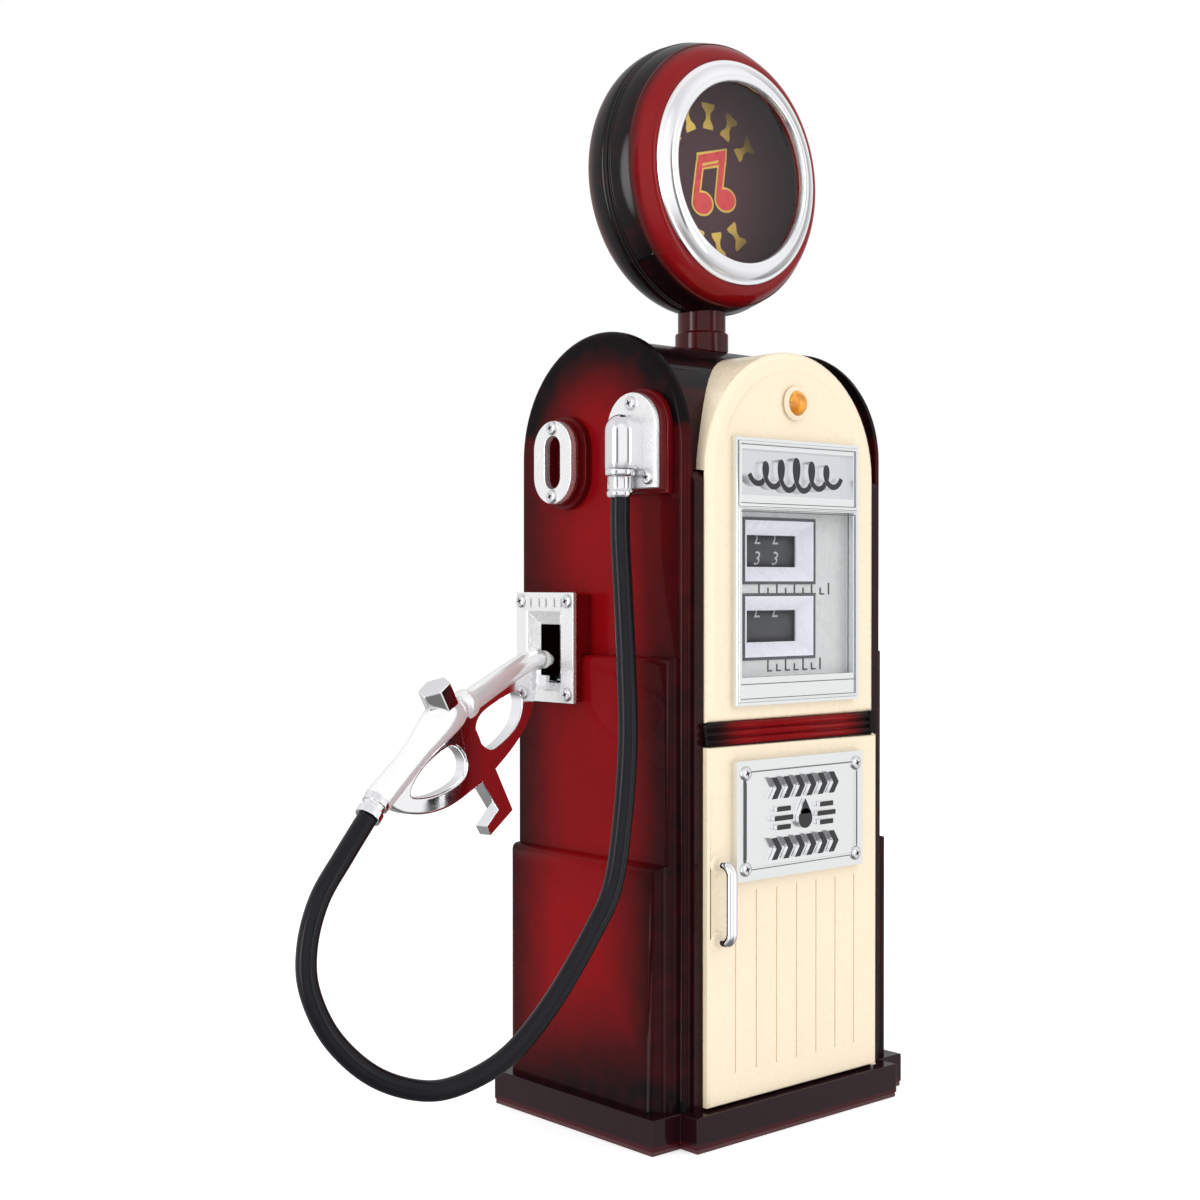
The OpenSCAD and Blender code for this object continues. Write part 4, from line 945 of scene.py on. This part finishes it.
def drum_digits(node, z, rows):
    """Digits printed round a number drum: rows are (degrees above the front, digit)."""
    vertices, faces = [], []
    for degrees, digit in rows:
        points, cells = digit_mesh(digit)
        for x in (-1.8, -10.5, -19.2):
            start = len(vertices)
            for u, v in points:
                a = math.radians(degrees) + v * DIGIT_HIGH / DRUM_R
                r = DRUM_R + 0.04
                vertices.append((x + u * DIGIT_HIGH, DRUM_Y - r * math.cos(a), z + r * math.sin(a)))
            faces += [[start + i for i in cell] for cell in cells]
    mesh = mesh_from(node + "_digits", vertices, faces)
    finished(node + "_digits", mesh, "drum_ink", slot="dial_white", body=BODY_OF[node])


def drums():
    drum_digits("sale_drum", SALE_Z, [(24 - 36 * k, (2 + k) % 10) for k in range(10)])
    drum_digits("gallons_drum", GALLONS_Z, [(27 - 72 * k, (2 * k + 2) % 10) for k in range(5)])


# ---- nozzle: pieces drawn in its own plane, by distance from the tip and height ----

def on_nozzle(s, z, out=0.0):
    """Point of the nozzle, out millimetres behind its middle plane."""
    turn = Matrix.Rotation(NOZZLE_YAW, 3, "Z")
    return NOZZLE_TIP + turn @ Vector((-s, out, z))


def smooth_loop(points, steps=6):
    """Closed smooth outline through points, as the CAD source draws it."""
    flat = [(x, z, 0) for x, z in points]
    route = spline([flat[-1]] + flat + [flat[0], flat[1]], steps)
    return [(p.x, p.y) for p in route[steps:-2 * steps + steps - 1]]


def web_piece(name, outer, holes, half=2.5, round_by=0.45):
    """Flat bright web with rounded edges."""
    work = bmesh.new()
    loops = []
    for outline in [outer] + holes:
        points = [work.verts.new(Vector((x, 0, z))) for x, z in outline]
        loops += [work.edges.new((points[k], points[(k + 1) % len(points)])) for k in range(len(points))]
    bmesh.ops.triangle_fill(work, edges=loops, use_beauty=True)
    bmesh.ops.dissolve_limit(work, angle_limit=0.01, verts=work.verts, edges=work.edges)
    flat = list(work.faces)
    for vertex in work.verts:
        vertex.co.y = half
    for item in bmesh.ops.extrude_face_region(work, geom=flat)["geom"]:
        if isinstance(item, bmesh.types.BMVert):
            item.co.y = -half
    bmesh.ops.recalc_face_normals(work, faces=work.faces)
    rims = [e for e in work.edges if len(e.link_faces) == 2 and e.calc_face_angle() > 1.2
            and abs(e.verts[0].co.y - e.verts[1].co.y) < 0.01]
    bmesh.ops.bevel(work, geom=rims, offset=round_by, offset_type="OFFSET", segments=3, profile=0.5,
                    affect="EDGES", clamp_overlap=True)
    for vertex in work.verts:
        vertex.co = on_nozzle(vertex.co.x, vertex.co.z, vertex.co.y) * MM
    bmesh.ops.recalc_face_normals(work, faces=work.faces)
    even_normals(finished(name, shaded(name, work, 35), "web_chrome", slot="chrome", body="nozzle"))


def thick_tube(name, stations, paint="nozzle_chrome", node="nozzle_body", hides=()):
    """Round bar on the nozzle through (distance, height, radius) stations."""
    centres = spline([on_nozzle(s, z) for s, z, _ in stations], 8)
    radii = [v.x for v in spline([(r, 0, 0) for _, _, r in stations], 8)]
    mesh = tube(name, centres, radii, 40)
    finished(name, mesh, paint, slot=SLOT_OF[node], body="nozzle", hides=hides)


def nozzle():
    """The nozzle's cast body: web with two guard loops and a catch, spout, trunk and collars."""
    upper = smooth_loop([
        (7, 153), (5.2, 146), (8.2, 136), (14.3, 128.6), (23, 121.8), (31, 117.5), (39, 120),
        (43, 129), (44, 139), (34, 143), (20, 149.5)])
    upper_hole = smooth_loop([
        (36.3, 133), (33.6, 137.8), (24, 142), (15.8, 144), (12.8, 141), (14.6, 134.6),
        (20, 129.6), (28, 126.1), (33.6, 128.4)])
    lower = smooth_loop([
        (76, 113.4), (71.4, 110), (63.6, 108.4), (55.7, 108.3), (47.6, 109.7), (39, 113),
        (31, 117.5), (33, 128), (40, 137), (50, 136), (61, 126.5), (70, 120)])
    lower_hole = smooth_loop([
        (66.8, 115), (62, 121.6), (54, 126.4), (46.8, 128.3), (41.6, 124), (42.2, 118.6),
        (49, 115.2), (59, 113.6)])
    catch = [(34.5, 118), (32.8, 114.9), (25.3, 106.1), (31.1, 101.2), (29, 98.2), (17.7, 105.3),
             (26.4, 119.5)]
    web_piece("nozzle_upper_guard", upper, [upper_hole], half=2.5)
    web_piece("nozzle_lower_guard", lower, [lower_hole], half=2.48, round_by=0.9)
    web_piece("nozzle_catch", catch, [], half=2.46, round_by=0.25)
    spout = [(0.3, 154.2, 2.9), (0.9, 154.2, 3.4), (2.5, 154.1, 3.6), (6, 153.6, 3.6),
             (10, 152.5, 3.6), (16, 150.3, 3.65), (24, 147.2, 3.7), (32, 143.9, 3.8),
             (39.5, 140.8, 3.9), (44, 139, 4.0)]
    thick_tube("nozzle_spout", spout, hides=["nozzle_body"])
    tip = [(0.6, 154.1, 2.8), (0.2, 154.1, 3.0), (-0.8, 154.05, 3.0), (-2.0, 154.0, 3.0),
           (-2.6, 153.95, 2.6), (-2.9, 153.9, 2.05), (-4.2, 153.85, 2.0), (-5.0, 153.8, 1.8),
           (-5.4, 153.8, 1.1)]
    thick_tube("nozzle_tip_finish", tip, "pearl", "nozzle_tip", ["nozzle_tip"])
    collar = [(37.2, 141.8, 4.0), (37.6, 141.6, 4.7), (38.6, 141.2, 4.95), (39.8, 140.7, 4.95),
              (40.8, 140.3, 4.7), (41.2, 140.1, 4.1)]
    thick_tube("nozzle_collar", collar)
    trunk = [(42.5, 139.8, 3.0), (43.5, 139.4, 4.6), (45.5, 138.8, 5.5), (48.5, 137.6, 6.0),
             (52, 135.4, 6.0), (56, 132.2, 5.4), (60.5, 128.6, 4.7), (66, 124.2, 4.4),
             (72, 119.7, 4.45), (77, 116, 4.55), (79.4, 114.2, 4.55)]
    thick_tube("nozzle_trunk", trunk)


# ---- studio ----

def add_floor():
    mesh = bpy.data.meshes.new("floor")
    reach = 40
    mesh.from_pydata([(-reach, -reach, 0), (reach, -reach, 0), (reach, reach, 0), (-reach, reach, 0)],
                     [], [(0, 1, 2, 3)])
    floor = add_object("floor", mesh)
    paint = Paint("floor", (0.86, 0.86, 0.86), 0.7, Emission_Strength=0.45)
    paint.shader.inputs["Emission Color"].default_value = (1, 1, 1, 1)
    mesh.materials.append(paint.material)
    floor.visible_glossy = False


def add_lamp(name, place, target, size, power):
    """Soft box: place and target in millimetres, size in metres."""
    data = bpy.data.lights.new(name, "AREA")
    data.shape = "RECTANGLE"
    data.size, data.size_y = size
    data.energy = power
    lamp = add_object(name, data)
    lamp.location = Vector(place) * MM
    aim = (Vector(target) - Vector(place)).normalized()
    lamp.rotation_euler = aim.to_track_quat("-Z", "Y").to_euler()
    lamp.visible_glossy = False


def add_sky():
    """White to the eye. What shines on the object is brighter above and in front than behind."""
    world = bpy.data.worlds.new("studio")
    bpy.context.scene.world = world
    world.use_nodes = True
    tree = world.node_tree
    tree.nodes.clear()

    def node(kind, inputs=(), **settings):
        return add_node(tree, kind, inputs, settings)

    way = node("TexCoord").outputs["Generated"]
    tall = node("VectorMath", {0: way, 1: (1, 1, 0.3)}, operation="MULTIPLY").outputs[0]
    tall = node("VectorMath", {0: tall}, operation="NORMALIZE").outputs[0]

    # each glow is full within its first cosine from a direction and gone beyond its second
    level = 0.62
    for direction, narrow, wide, amount, shape in (
            ((0, 0, 1), 0.95, 0.3, 0.2, way), ((0.72, -0.69, 0.0), 0.88, 0.35, 0.34, way),
            ((-0.70, -0.71, 0.1), 0.92, 0.6, 0.5, way), ((-0.70, 0.71, 0.0), 0.9, 0.4, 0.25, way),
            ((0, 0, -1), 0.9, 0.1, -0.45, way), ((-0.95, -0.32, 0.0), 0.998, 0.988, -0.85, tall),
            ((-0.993, 0.12, 0.0), 0.999, 0.982, 6.0, tall), ((0.35, -0.94, 0.0), 0.998, 0.990, 2.0, tall),
            ((0.05, -1.0, 0.0), 0.998, 0.990, -0.70, tall), ((0.99, -0.1, 0.0), 0.99, 0.95, -0.45, tall)):
        dot = node("VectorMath", {0: shape, 1: Vector(direction).normalized()}, operation="DOT_PRODUCT")
        part = node("MapRange", {0: dot.outputs["Value"], 1: wide, 2: narrow, 3: 0.0, 4: amount},
                    interpolation_type="SMOOTHSTEP")
        level = node("Math", {0: level, 1: part.outputs[0]}, operation="ADD").outputs[0]
    level = node("Math", {0: level, 1: 0.02}, operation="MAXIMUM").outputs[0]
    seen = node("Background", {0: (1, 1, 1, 1), 1: 1.0})
    shining = node("Background", {0: (1, 1, 1, 1), 1: level})
    either = node("MixShader", {0: node("LightPath").outputs["Is Camera Ray"],
                                1: shining.outputs[0], 2: seen.outputs[0]})
    output = node("OutputWorld")
    tree.links.new(either.outputs[0], output.inputs["Surface"])


def add_studio():
    add_floor()
    add_sky()
    add_lamp("front_box", (350, -700, 950), (0, 0, 160), (0.9, 0.7), 1.5)
    add_lamp("left_box", (-1000, -250, 420), (0, 0, 160), (0.35, 1.0), 1.2)
    add_lamp("top_box", (-100, -100, 1100), (0, 0, 150), (0.9, 0.9), 2.0)
    view = bpy.context.scene.view_settings
    view.view_transform = "Standard"
    view.look = "None"


add_camera()
mix_paints()
hose()
cabinet()
elbow()
globe()
upper_panel()
sign_relief()
header_scroll()
lines_and_labels()
switch_marks()
drums()
nozzle()
add_studio()
